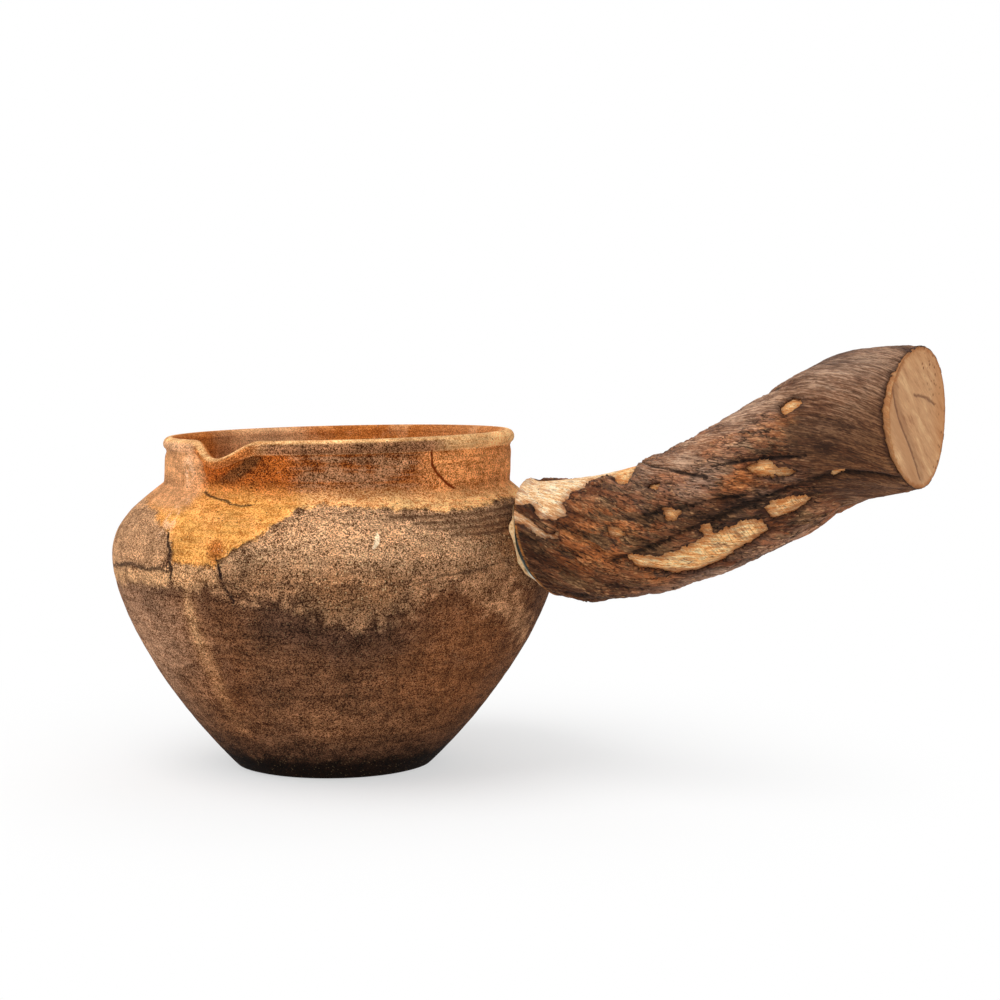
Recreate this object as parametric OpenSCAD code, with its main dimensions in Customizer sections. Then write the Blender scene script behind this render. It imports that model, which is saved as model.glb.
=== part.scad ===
// Open stoneware pouring pot with a side handle cut from a crooked branch.
// The origin is the centre of the foot's underside, +Z is up and the handle leaves along +X.

/* [Pot] */
// Radius of the flat foot
foot_r = 22.6; // [18:0.2:27]
// Radius of the round under the edge of the foot
foot_edge = 1.6; // [0.6:0.1:3]
// Radius of the belly at its widest
belly_r = 53; // [48:0.2:58]
// Height of the widest part of the belly
belly_z = 51; // [46:0.5:55]
// How far out the lower wall aims before it turns up
flare_out = 15.4; // [10:0.2:20]
// How high the lower wall aims before it turns up
flare_up = 14.6; // [10:0.2:18]
// Height of the full stretch below the widest part
belly_full = 14.3; // [8:0.1:18]
// Height of the full stretch above the widest part
shoulder_full = 8; // [4:0.1:10]
// Width of the slope that runs in to the neck
shoulder_run = 6.4; // [3:0.1:9]
// Fall of the slope that runs in to the neck
shoulder_drop = 5.2; // [3:0.1:7]
// Outside radius of the neck
neck_r = 41.2; // [37:0.1:44]
// Height at which the shoulder meets the neck
neck_z = 67.8; // [65:0.1:71]
// Thickness of the thrown wall
wall_t = 3.4; // [2.6:0.1:4.4]
// Thickness of the floor
floor_t = 5; // [3.5:0.1:7]

/* [Rim] */
// Height of the rim above the foot
rim_z = 79.4; // [77:0.1:84]
// Radius of the rolled edge
bead_r = 1.7; // [1.4:0.05:2.2]
// How far the rolled edge stands out from the neck
bead_out = 0.4; // [0.2:0.05:0.9]
// How far the rim has drifted off the axis of the foot
rim_shift = 1.2; // [0:0.1:2]
// Plan angle toward which the rim has drifted and risen
rim_lean_angle = 32; // [0:1:60]
// Slope of the rim against the level
rim_tilt = 1.2; // [0:0.1:2]

/* [Pouring lip] */
// Plan angle of the lip, measured from the handle
lip_angle = -98.5; // [-120:0.5:-70]
// Half of the angle over which the rim is pulled out
lip_half = 14.5; // [12:0.5:26]
// How far the rim dips at the lip
lip_drop = 3.9; // [2:0.1:6]
// How far the rim is pulled outward at the lip
lip_reach = 2.4; // [1:0.1:5]

/* [Handle] */
// Length of the branch along +X, from its fitted end to its sawn end
handle_length = 88; // [80:0.5:105]
// Rise of the branch from end to end
handle_rise = 29; // [20:0.2:36]
// How far the handle sits to the side of the pot's axis
handle_side = 5; // [0:0.5:7]
// Length over which the branch runs level before it climbs
bend_near = 45.8; // [34:0.2:52]
// Length over which the branch levels out again at the sawn end
bend_far = 25.9; // [18:0.1:34]
// Radius of the branch at its fitted end
near_r = 14.4; // [13:0.1:15]
// Radius of the branch half way along
middle_r = 15.3; // [14:0.1:17]
// Radius of the branch at its sawn end
sawn_r = 15.3; // [13.5:0.1:16.5]
// Height of the three low ridges that wind along the branch
ridge_h = 0.5; // [0:0.05:0.9]
// Turn of the ridges from end to end
ridge_turn = 150; // [0:5:240]
// Radius of the round on the fitted end
near_round = 0.3; // [0.3:0.1:2]
// Radius of the round on the sawn end
sawn_round = 0.3; // [0.3:0.05:1.2]
// Turn of the saw cut away from square, in plan
saw_skew = 5.5; // [0:0.5:18]
// Thickness of the bark
bark_t = 1.3; // [0.8:0.1:2]
// Bare wood left at the fitted end
bark_start = 0.6; // [0.5:0.1:3]

/* [Handle joint] */
// Height of the joint above the widest part of the belly
joint_up = 5.3; // [3:0.1:7]
// Upward tilt of the peg
joint_tilt = 17; // [8:0.5:20]
// Gap from the belly's widest line to the fitted end of the branch
joint_gap = 1.6; // [1:0.1:3]
// How far the edge of the clay collar lies inside the edge of the branch
collar_in = 2; // [1.5:0.1:3]
// Thickness of the collar's edge
collar_t = 2; // [1:0.1:2.5]
// Radius of the collar's stem on the pot's wall
stem_r = 9; // [8.2:0.1:10]
// Radius of the clay peg inside the branch
peg_r = 7; // [6:0.1:8]
// Length of the peg inside the branch
peg_length = 20; // [14:0.5:26]
// Radius of the hollow in the peg
peg_bore_r = 3.4; // [2.5:0.1:4]
// Thickness of the resin around the peg
resin_t = 0.6; // [0.4:0.05:1]
// Thickness of the resin pad between the collar and the branch
pad_t = 0.9; // [0.6:0.05:1.2]
// How far the edge of the resin pad lies inside the edge of the branch
pad_in = 2.2; // [1.6:0.1:3.4]
// Clearance between pieces that seat on each other
seat_gap = 0.05; // [0.02:0.01:0.2]

/* [Hidden] */

// Facets and steps
$fn = 96;
CURVE_STEPS = 14;
RIM_STEPS = 144;
BRANCH_SIDES = 40;
BRANCH_STEPS = 24;

// Where the thrown wall ends and the rim's ring takes over, and the ring's lap inside that wall
NECK_FOOT_H = 1.2;
LAP_T = 0.06;
LAP_H = 0.8;
split_z = neck_z + NECK_FOOT_H;

// Share of the wall's thickness by which the hollow's slanting curves step in, along r and along z
SLANT_SHARE = 0.6;
slant_t = SLANT_SHARE * wall_t;

// Peeled patches of bark: place along the branch, angle around it, length and width
PATCHES = [
    [0.08, 130, 20, 14],
    [0.42, 215, 26, 7],
    [0.62, 175, 11, 5],
    [0.68, 208, 12, 6],
    [0.70, 140, 7, 4]
];

// Collar and resin pad under the branch's fitted end
collar_r = near_r - collar_in;
pad_r = near_r - pad_in;
collar_front = -pad_t - seat_gap;
collar_back = collar_front - collar_t;

// Where the branch's fitted end stands
joint = [sqrt(belly_r * belly_r - handle_side * handle_side) + joint_gap, handle_side, belly_z + joint_up];

function ease(t) = t <= 0 ? 0 : t >= 1 ? 1 : t * t * (3 - 2 * t);

// Point of a cubic curve with the four control points p
function curve(p, t) =
    pow(1 - t, 3) * p[0] + 3 * t * pow(1 - t, 2) * p[1] + 3 * t * t * (1 - t) * p[2] + pow(t, 3) * p[3];
function curve_points(p, first = 0) = [for (i = [first : CURVE_STEPS]) curve(p, i / CURVE_STEPS)];
function reversed(list) = [for (i = [len(list) - 1 : -1 : 0]) list[i]];

// Triangles of a grid of rows by cols points, in which each row is a closed ring
function strip(rows, cols, closed) = [
    for (i = [0 : rows - (closed ? 1 : 2)], j = [0 : cols - 1])
        let (
            a = i * cols + j,
            b = i * cols + (j + 1) % cols,
            c = ((i + 1) % rows) * cols + (j + 1) % cols,
            d = ((i + 1) % rows) * cols + j
        )
        each [[a, b, c], [a, c, d]]
];

// Outline of the pot's outside, from the foot up to the top of the thrown wall
foot_arc = [for (a = [-90 : 12.5 : -40]) [foot_r + foot_edge * cos(a), foot_edge * (1 + sin(a))]];
lower_wall = [
    foot_arc[len(foot_arc) - 1],
    [foot_r + flare_out, flare_up],
    [belly_r, belly_z - belly_full],
    [belly_r, belly_z]
];
shoulder = [
    [belly_r, belly_z],
    [belly_r, belly_z + shoulder_full],
    [neck_r + shoulder_run, neck_z - shoulder_drop],
    [neck_r, neck_z]
];
outer_line = concat(foot_arc, curve_points(lower_wall, 1), curve_points(shoulder, 1), [[neck_r, split_z]]);

// Outline of the hollow, from the floor up
floor_r = foot_r - wall_t;
inner_lower = [
    [floor_r, floor_t],
    [foot_r + flare_out - slant_t, flare_up + slant_t],
    [belly_r - wall_t, belly_z - belly_full],
    [belly_r - wall_t, belly_z]
];
inner_shoulder = [
    [belly_r - wall_t, belly_z],
    [belly_r - wall_t, belly_z + shoulder_full],
    [neck_r - wall_t + shoulder_run, neck_z - shoulder_drop - slant_t],
    [neck_r - wall_t, neck_z - slant_t]
];
inner_line = concat(curve_points(inner_lower), curve_points(inner_shoulder, 1), [[neck_r - wall_t, split_z]]);

// Closed outline of the neck and the rolled edge, before it is pulled into shape
bead_c = [neck_r + bead_out - bead_r, rim_z - bead_r];
bead_foot = rim_z - 2 * bead_r;
rim_line = concat(
    [for (z = [split_z - LAP_H, split_z, (2 * split_z + bead_foot) / 3, (split_z + 2 * bead_foot) / 3])
        [neck_r - LAP_T, z]],
    [[neck_r - 2 * LAP_T, bead_foot]],
    [for (a = [-50 : 25 : 200]) bead_c + bead_r * [cos(a), sin(a)]],
    [for (z = [bead_foot, (split_z + bead_foot) / 2, split_z, split_z - LAP_H]) [neck_r - wall_t + LAP_T, z]]
);

// How strongly the rim is pulled out at the plan angle a
function lip_pull(a) =
    let (off = abs(a - lip_angle) > 180 ? 360 - abs(a - lip_angle) : abs(a - lip_angle))
    off < lip_half ? pow(cos(90 * off / lip_half), 2) : 0;

// A point of the rim's outline at the plan angle a, with the lip, the drift and the slope of the rim
function rim_point(p, a) =
    let (
        up = ease((p[1] - split_z) / (rim_z - split_z)),
        r = p[0] + lip_reach * lip_pull(a) * up,
        rise = r * cos(a - rim_lean_angle) * tan(rim_tilt)
    )
    [
        r * cos(a) + rim_shift * up * cos(rim_lean_angle),
        r * sin(a) + rim_shift * up * sin(rim_lean_angle),
        p[1] + up * (rise - lip_drop * lip_pull(a))
    ];

// The branch: its centre line, its radius and its rings
spine = [
    joint,
    joint + [bend_near, 0, 0],
    joint + [handle_length - bend_far, 0, handle_rise],
    joint + [handle_length, 0, handle_rise]
];
function spine_slope(t) =
    let (d = curve(spine, min(1, t + 0.01)) - curve(spine, max(0, t - 0.01)))
    atan2(d[2], d[0]);
function branch_r(t) =
    let (bow = 2 * middle_r - (near_r + sawn_r) / 2)
    near_r * pow(1 - t, 2) + 2 * bow * t * (1 - t) + sawn_r * t * t;

// How far a rounded end draws in at the distance s from it
function drawn_in(s, r) = s >= r ? 0 : r - sqrt(r * r - pow(r - s, 2));

// One ring of the branch, inset below the bark's outside.
// The rings turn square to the peg at the fitted end and square to the saw cut at the other.
function branch_ring(t, inset) =
    let (
        near_s = 3 * bend_near * t,
        sawn_s = 3 * bend_far * (1 - t),
        pitch = spine_slope(t) + (joint_tilt - spine_slope(0)) * (1 - ease(near_s / (2 * near_r))),
        yaw = -saw_skew * (1 - ease(sawn_s / (2 * sawn_r))),
        side = [-sin(yaw), cos(yaw), 0],
        up = [-sin(pitch) * cos(yaw), -sin(pitch) * sin(yaw), cos(pitch)],
        r = branch_r(t) - inset - drawn_in(near_s, near_round) - drawn_in(sawn_s, sawn_round)
    )
    [for (j = [0 : BRANCH_SIDES - 1])
        let (a = 360 * j / BRANCH_SIDES, k = r + ridge_h * cos(3 * a - ridge_turn * t))
        curve(spine, t) + k * (cos(a) * side + sin(a) * up)];

// Ring places along the branch, closer together on the rounded ends
near_rings = [for (k = [0, 0.12, 0.35, 0.7]) k * near_round / (3 * bend_near)];
sawn_rings = [for (k = [0.6, 0.2, 0]) 1 - k * sawn_round / (3 * bend_far)];
even_rings = [for (i = [1 : BRANCH_STEPS - 1]) i / BRANCH_STEPS];
branch_rings = concat(near_rings, even_rings, sawn_rings);
bark_rings = concat([bark_start / (3 * bend_near)], even_rings, sawn_rings);

// Moves a piece made along +Z onto the peg's axis, with its zero at the fitted end of the branch
module on_peg_axis() {
    translate(joint) rotate([0, 90 - joint_tilt, 0]) children();
}

// The pot as a solid, grown by gap
module pot_solid(gap) {
    rotate_extrude()
        polygon(concat([[0, -gap]], [for (p = outer_line) p + [gap, 0]], [[0, split_z]]));
}

// A patch where the bark has peeled off, at the place t and the angle a around the branch
module peeled_patch(t, a, long, wide) {
    patch = [for (q = [0 : 30 : 330]) [wide / 2 * sin(q), long / 2 * cos(q)]];
    translate(curve(spine, t))
        rotate([0, -spine_slope(t), 0])
        rotate([a - 90, 0, 0])
        translate([0, 0, near_r / 2])
        linear_extrude(height = near_r)
        rotate(90)
        polygon(patch);
}

module pot_body() {
    color("#8a6238") union() {
        rotate_extrude() polygon(concat([[0, 0]], outer_line, reversed(inner_line), [[0, floor_t]]));
        polyhedron(
            points = [for (i = [0 : RIM_STEPS - 1], p = rim_line) rim_point(p, 360 * i / RIM_STEPS - 180)],
            faces = strip(RIM_STEPS, len(rim_line), true),
            convexity = 8
        );
    }
}

module handle_peg() {
    color("#b98a56") difference() {
        on_peg_axis() rotate_extrude() polygon([
            [0, -belly_r / 2],
            [stem_r, -belly_r / 2],
            [stem_r, collar_back - (collar_r - stem_r) / 2],
            [collar_r, collar_back],
            [collar_r, collar_front],
            [peg_r, collar_front],
            [peg_r, peg_length],
            [peg_bore_r, peg_length],
            [peg_bore_r, 0],
            [0, 0]
        ]);
        pot_solid(seat_gap);
    }
}

module resin_bed() {
    color("#8f9484") on_peg_axis() rotate_extrude() polygon([
        [peg_r + seat_gap, -pad_t],
        [pad_r, -pad_t],
        [pad_r, -seat_gap],
        [peg_r + resin_t - seat_gap, -seat_gap],
        [peg_r + resin_t - seat_gap, peg_length],
        [peg_r + seat_gap, peg_length]
    ]);
}

module handle_branch() {
    last = len(branch_rings) * BRANCH_SIDES - 1;
    color("#cf9a5e") difference() {
        polyhedron(
            points = [for (t = branch_rings) each branch_ring(t, bark_t + seat_gap)],
            faces = concat(
                strip(len(branch_rings), BRANCH_SIDES, false),
                [[for (j = [BRANCH_SIDES - 1 : -1 : 0]) j]],
                [[for (j = [BRANCH_SIDES - 1 : -1 : 0]) last - j]]
            ),
            convexity = 4
        );
        on_peg_axis() translate([0, 0, -near_round])
            cylinder(r = peg_r + resin_t, h = near_round + peg_length + resin_t);
    }
}

module handle_bark() {
    color("#6f5a48") difference() {
        polyhedron(
            points = concat(
                [for (t = bark_rings) each branch_ring(t, 0)],
                [for (t = reversed(bark_rings)) each branch_ring(t, bark_t)]
            ),
            faces = strip(2 * len(bark_rings), BRANCH_SIDES, true),
            convexity = 8
        );
        for (p = PATCHES) peeled_patch(p[0], p[1], p[2], p[3]);
    }
}

pot_body();
handle_peg();
resin_bed();
handle_branch();
handle_bark();
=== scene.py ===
"""Dressed model of a side-handle teapot: a wood-fired pot with a length of branch for its handle.

Lengths are metres, in the frame of the solids. Marks on the pot are given by plan angle in degrees and
height in millimetres, marks on the branch by millimetres along it and degrees round it.
"""

import logging
import math
from dataclasses import dataclass
from enum import Enum

import bmesh
import bpy
import numpy as np
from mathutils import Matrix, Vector, noise


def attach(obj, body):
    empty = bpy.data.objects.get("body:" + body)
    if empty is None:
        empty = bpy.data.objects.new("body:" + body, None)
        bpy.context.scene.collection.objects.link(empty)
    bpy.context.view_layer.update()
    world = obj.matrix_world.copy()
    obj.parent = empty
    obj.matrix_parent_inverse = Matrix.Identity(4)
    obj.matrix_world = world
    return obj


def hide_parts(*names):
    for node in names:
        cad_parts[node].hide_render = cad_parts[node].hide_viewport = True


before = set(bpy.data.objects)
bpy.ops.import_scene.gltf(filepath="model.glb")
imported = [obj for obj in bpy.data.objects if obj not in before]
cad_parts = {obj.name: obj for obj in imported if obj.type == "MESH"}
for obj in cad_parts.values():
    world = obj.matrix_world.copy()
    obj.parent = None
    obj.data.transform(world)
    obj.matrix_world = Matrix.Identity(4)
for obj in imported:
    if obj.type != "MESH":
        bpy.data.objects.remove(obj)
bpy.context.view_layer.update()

MM = 0.001
MERGE_GAP = 1e-6
LOG = logging.getLogger("teapot")

Array = np.ndarray
Colour = tuple[int, int, int]
Place = tuple[float, float, float]
Marks = tuple[tuple[float, float], ...]
Spot = tuple[float, float, float, float]
Spots = tuple[Spot, ...]
Swells = tuple[tuple[float, float, float, float, float], ...]


class Slot(Enum):
    """Material slots of the record."""

    STONEWARE = "stoneware"
    PEG_CLAY = "peg_clay"
    RESIN = "resin"
    BARE_WOOD = "bare_wood"
    BARK = "bark"


class Axis(Enum):
    """Axes that outlines are turned round."""

    ALONG = (1, 0, 0)
    UP = (0, 0, 1)


def linear(colour: Colour) -> tuple[float, float, float, float]:
    """Turns a screen colour into the light values that a shader takes.

    Args:
        colour: Red, green and blue from 0 to 255.

    Returns:
        The linear red, green and blue, with full alpha.
    """
    parts = [c / 255 for c in colour]
    values = [c / 12.92 if c <= 0.04045 else ((c + 0.055) / 1.055) ** 2.4 for c in parts]
    return (*values, 1.0)


def ease(t: Array) -> Array:
    """Returns a smooth step from 0 to 1 as t goes from 0 to 1."""
    t = np.clip(t, 0.0, 1.0)
    return t * t * (3 - 2 * t)


def bell(across: Array, along: Array | float = 0.0) -> Array:
    """Returns 1 in the middle of a soft hump and about a third at a distance of 1 from it."""
    return np.exp(-(across**2) - along**2)


def off_angle(angle: Array, middle: float) -> Array:
    """Returns each angle's offset from middle in degrees, from -180 to 180."""
    return (angle - middle + 180) % 360 - 180


def cubic(points: Array, t: Array) -> Array:
    """Points of a cubic curve.

    Args:
        points: The four control points.
        t: Places along the curve, 0 to 1.

    Returns:
        One row per place.
    """
    t = np.asarray(t, float)[:, None]
    p = np.asarray(points, float)
    return (1 - t) ** 3 * p[0] + 3 * t * (1 - t) ** 2 * p[1] + 3 * t * t * (1 - t) * p[2] + t**3 * p[3]


def line_field(u: Array, v: Array, line: Array) -> tuple[Array, Array]:
    """Distance from a bent line on an unrolled surface.

    Args:
        u: Places across the surface.
        v: Places up the surface.
        line: Corners of the line, one row each.

    Returns:
        The distance, and the same distance with a sign for the side of the line.
    """
    best = np.full(len(u), np.inf)
    side = np.zeros(len(u))
    for (ax, ay), (bx, by) in zip(line, line[1:]):
        ex, ey = bx - ax, by - ay
        run = np.clip(((u - ax) * ex + (v - ay) * ey) / (ex * ex + ey * ey), 0, 1)
        gap = np.hypot(u - ax - run * ex, v - ay - run * ey)
        turn = np.where(ex * (v - ay) - ey * (u - ax) < 0, -1.0, 1.0)
        side = np.where(gap < best, turn * gap, side)
        best = np.minimum(best, gap)
    return best, side


def area_field(u: Array, v: Array, corners: Array) -> Array:
    """Distance inside an outline on an unrolled surface.

    Args:
        u: Places across the surface.
        v: Places up the surface.
        corners: Corners of the outline, one row each.

    Returns:
        The distance from the outline, positive inside it.
    """
    loop = np.vstack([corners, corners[:1]])
    inside = np.zeros(len(u), bool)
    for (ax, ay), (bx, by) in zip(loop, loop[1:]):
        crosses = (ay > v) != (by > v)
        height = by - ay if by != ay else 1.0
        inside ^= crosses & (u < ax + (v - ay) * (bx - ax) / height)
    gap, _ = line_field(u, v, loop)
    return np.where(inside, gap, -gap)


def ripple(points: Array, octaves: int = 3) -> Array:
    """Returns fractal noise of about -1 to 1 at each row of points."""
    return np.array([noise.fractal(p, 1.0, 2.0, octaves) for p in points.tolist()])


def mesh_points(mesh: bpy.types.Mesh) -> Array:
    """Reads where a mesh's vertices are.

    Args:
        mesh: The mesh.

    Returns:
        The places, one row each.
    """
    flat = np.empty(len(mesh.vertices) * 3)
    mesh.vertices.foreach_get("co", flat)
    return flat.reshape(-1, 3)


def move_points(mesh: bpy.types.Mesh, points: Array) -> None:
    """Puts a mesh's vertices at the rows of points."""
    mesh.vertices.foreach_set("co", points.astype(np.float32).ravel())
    mesh.update()


def note_field(mesh: bpy.types.Mesh, name: str, values: Array) -> None:
    """Stores one number or one vector for each vertex.

    Args:
        mesh: The mesh that keeps the values.
        name: Name that the finish reads.
        values: One value, or one row of three, for each vertex.
    """
    kind, key = ("FLOAT", "value") if values.ndim == 1 else ("FLOAT_VECTOR", "vector")
    layer = mesh.attributes.new(name, kind, "POINT")
    layer.data.foreach_set(key, values.astype(np.float32).ravel())


def spun(outline: Array, axis: Axis, steps: int, closed: bool = False) -> bmesh.types.BMesh:
    """Turns an outline once round an axis through the origin.

    Args:
        outline: Points of the outline, one row each.
        axis: The axis.
        steps: Number of steps in the turn.
        closed: Whether the outline's last point joins its first.

    Returns:
        The new shape, with its seam and its poles closed and its faces outward.
    """
    shape = bmesh.new()
    corners = [shape.verts.new(p) for p in outline]
    ends = corners[1:] + corners[:1] if closed else corners[1:]
    edges = [shape.edges.new(pair) for pair in zip(corners, ends)]
    turn = {"cent": (0, 0, 0), "axis": axis.value, "angle": 2 * math.pi, "steps": steps}
    bmesh.ops.spin(shape, geom=corners + edges, use_merge=True, **turn)
    bmesh.ops.remove_doubles(shape, verts=shape.verts, dist=MERGE_GAP)
    bmesh.ops.recalc_face_normals(shape, faces=shape.faces)
    return shape


def upright(line: Array) -> Array:
    """Returns points of radius and height as points in the plane of x and z."""
    return np.c_[line[:, 0], np.zeros(len(line)), line[:, 1]]


def as_mesh(shape: bmesh.types.BMesh, name: str) -> bpy.types.Mesh:
    """Makes a smooth-shaded mesh from a shape, which is then freed.

    Args:
        shape: The shape.
        name: Name of the mesh and of the piece that it becomes.

    Returns:
        The mesh.
    """
    mesh = bpy.data.meshes.new(name)
    shape.to_mesh(mesh)
    shape.free()
    mesh.shade_smooth()
    return mesh


def placed(mesh: bpy.types.Mesh, material: bpy.types.Material, node: str) -> bpy.types.Object:
    """Makes a mesh a piece of the part.

    Args:
        mesh: The finished mesh, in place.
        material: Its finish.
        node: The solid that the piece stands for.

    Returns:
        The piece.
    """
    piece = bpy.data.objects.new(mesh.name, mesh)
    bpy.context.scene.collection.objects.link(piece)
    mesh.materials.append(material)
    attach(piece, "root")
    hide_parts(node)
    LOG.info("%s: %d vertices, %d faces", piece.name, len(mesh.vertices), len(mesh.polygons))
    return piece


@dataclass(frozen=True)
class Grain:
    """A soft noise: lumps in a metre, alike or by axis, its finer layers and their strength."""

    scale: float | Place
    detail: float
    rough: float


@dataclass(frozen=True)
class Ramp:
    """Three tones of one finish, which a noise of about 0.2 to 0.8 picks."""

    dark: Colour
    middle: Colour
    light: Colour
    stops: Place = (0.28, 0.48, 0.7)


@dataclass(frozen=True)
class Value:
    """A node's result in a finish. Arithmetic with it adds the next node."""

    recipe: "Recipe"
    socket: bpy.types.NodeSocket

    def math(self, operation: str, other: "Value | float" = 0.0) -> "Value":
        """Returns the result of an operation on this number and another."""
        return self.recipe.add("ShaderNodeMath", {0: self, 1: other}, operation=operation)

    def __add__(self, other: "Value | float") -> "Value":
        """Returns the sum."""
        return self.math("ADD", other)

    def __sub__(self, other: "Value | float") -> "Value":
        """Returns the difference."""
        return self.math("SUBTRACT", other)

    def __mul__(self, other: "Value | float") -> "Value":
        """Returns the product."""
        return self.math("MULTIPLY", other)

    def __truediv__(self, other: "Value | float") -> "Value":
        """Returns the quotient."""
        return self.math("DIVIDE", other)

    def __or__(self, other: "Value | float") -> "Value":
        """Returns the larger of the two."""
        return self.math("MAXIMUM", other)

    def __abs__(self) -> "Value":
        """Returns the number without its sign."""
        return self.math("ABSOLUTE")

    def rest(self) -> "Value":
        """Returns what is left of 1."""
        return self.recipe.add("ShaderNodeMath", {0: 1.0, 1: self}, operation="SUBTRACT")

    def swing(self, reach: float) -> "Value":
        """Returns how far a noise lies from its middle, times reach."""
        return (self - 0.5) * reach

    def band(self, low: float, high: float) -> "Value":
        """Returns a smooth step from 0 at low to 1 at high."""
        inputs = {"Value": self, "From Min": low, "From Max": high}
        return self.recipe.add("ShaderNodeMapRange", inputs, interpolation_type="SMOOTHSTEP")

    def thread(self, width: float) -> "Value":
        """Returns 1 along the thin lines where a noise crosses its middle."""
        return abs(self - 0.5).band(width, 0.25 * width)

    def part(self, axis: str) -> "Value":
        """Returns one part of a vector, X, Y or Z."""
        return self.recipe.add("ShaderNodeSeparateXYZ", {0: self}, axis)

    def stretch(self, scale: Place) -> "Value":
        """Returns a vector with each part multiplied by its own scale."""
        return self.recipe.add("ShaderNodeVectorMath", {0: self, 1: scale}, operation="MULTIPLY")

    def cloud(self, grain: Grain) -> "Value":
        """Returns soft noise of about 0.2 to 0.8 at a place.

        Args:
            grain: Kind of noise.

        Returns:
            The noise.
        """
        place, scale = self, grain.scale
        if isinstance(scale, tuple):
            place, scale = self.stretch(scale), 1.0
        inputs = {"Vector": place, "Scale": scale, "Detail": grain.detail, "Roughness": grain.rough}
        return self.recipe.add("ShaderNodeTexNoise", inputs)

    def warp(self, scale: float, reach: float) -> "Value":
        """Pushes places about.

        Args:
            scale: Lumps of the noise that pushes them, in one unit.
            reach: Twice the longest push.

        Returns:
            The moved places.
        """
        inputs = {"Vector": self, "Scale": scale, "Detail": 3.0}
        push = self.recipe.add("ShaderNodeTexNoise", inputs, "Color")
        push = self.recipe.add("ShaderNodeVectorMath", {0: push, 1: (0.5, 0.5, 0.5)}, operation="SUBTRACT")
        inputs = {0: push, 1: (reach, reach, reach), 2: self}
        return self.recipe.add("ShaderNodeVectorMath", inputs, operation="MULTIPLY_ADD")

    def cells(self, scale: float, output: str, **settings: object) -> "Value":
        """Returns a result of a pattern of packed cells, scale of them in a unit."""
        return self.recipe.add("ShaderNodeTexVoronoi", {"Vector": self, "Scale": scale}, output, **settings)

    def seams(self, width: float) -> "Value":
        """Returns 1 along the seams between packed cells, each about one unit wide."""
        return self.cells(1.0, "Distance", feature="DISTANCE_TO_EDGE").band(width, 0.3 * width)

    def grains(self, scale: float) -> "Value":
        """Returns a random number from 0 to 1 for each of many packed grains."""
        return self.recipe.add("ShaderNodeSeparateColor", {0: self.cells(scale, "Color")})

    def pits(self, scale: float, size: float, few: float) -> "Value":
        """Returns 1 in small dots: size is a dot's share of its cell, few the share of empty cells."""
        dots = self.cells(scale, "Distance").band(size, 0.4 * size)
        return dots * self.grains(scale).band(few, few + 0.02)

    def ramp(self, tones: Ramp) -> "Value":
        """Picks one of three tones by a noise.

        Args:
            tones: The tones.

        Returns:
            The colour.
        """
        low, middle, high = tones.stops
        dusk = self.recipe.blend(self.band(low, middle), linear(tones.dark), linear(tones.middle))
        return self.recipe.blend(self.band(middle, high), dusk, linear(tones.light))

    def dim(self, factor: "Value | float") -> "Value":
        """Returns a colour made darker or lighter by factor."""
        return self.recipe.add("ShaderNodeVectorMath", {0: self, "Scale": factor}, operation="SCALE")

    def bump(self, depth: float) -> "Value":
        """Returns a surface direction roughened by a height, depth metres deep."""
        return self.recipe.add("ShaderNodeBump", {"Height": self, "Distance": depth, "Strength": 1.0})


Coats = tuple[tuple[Value, float, Colour | Enum | Value], ...]


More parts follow.
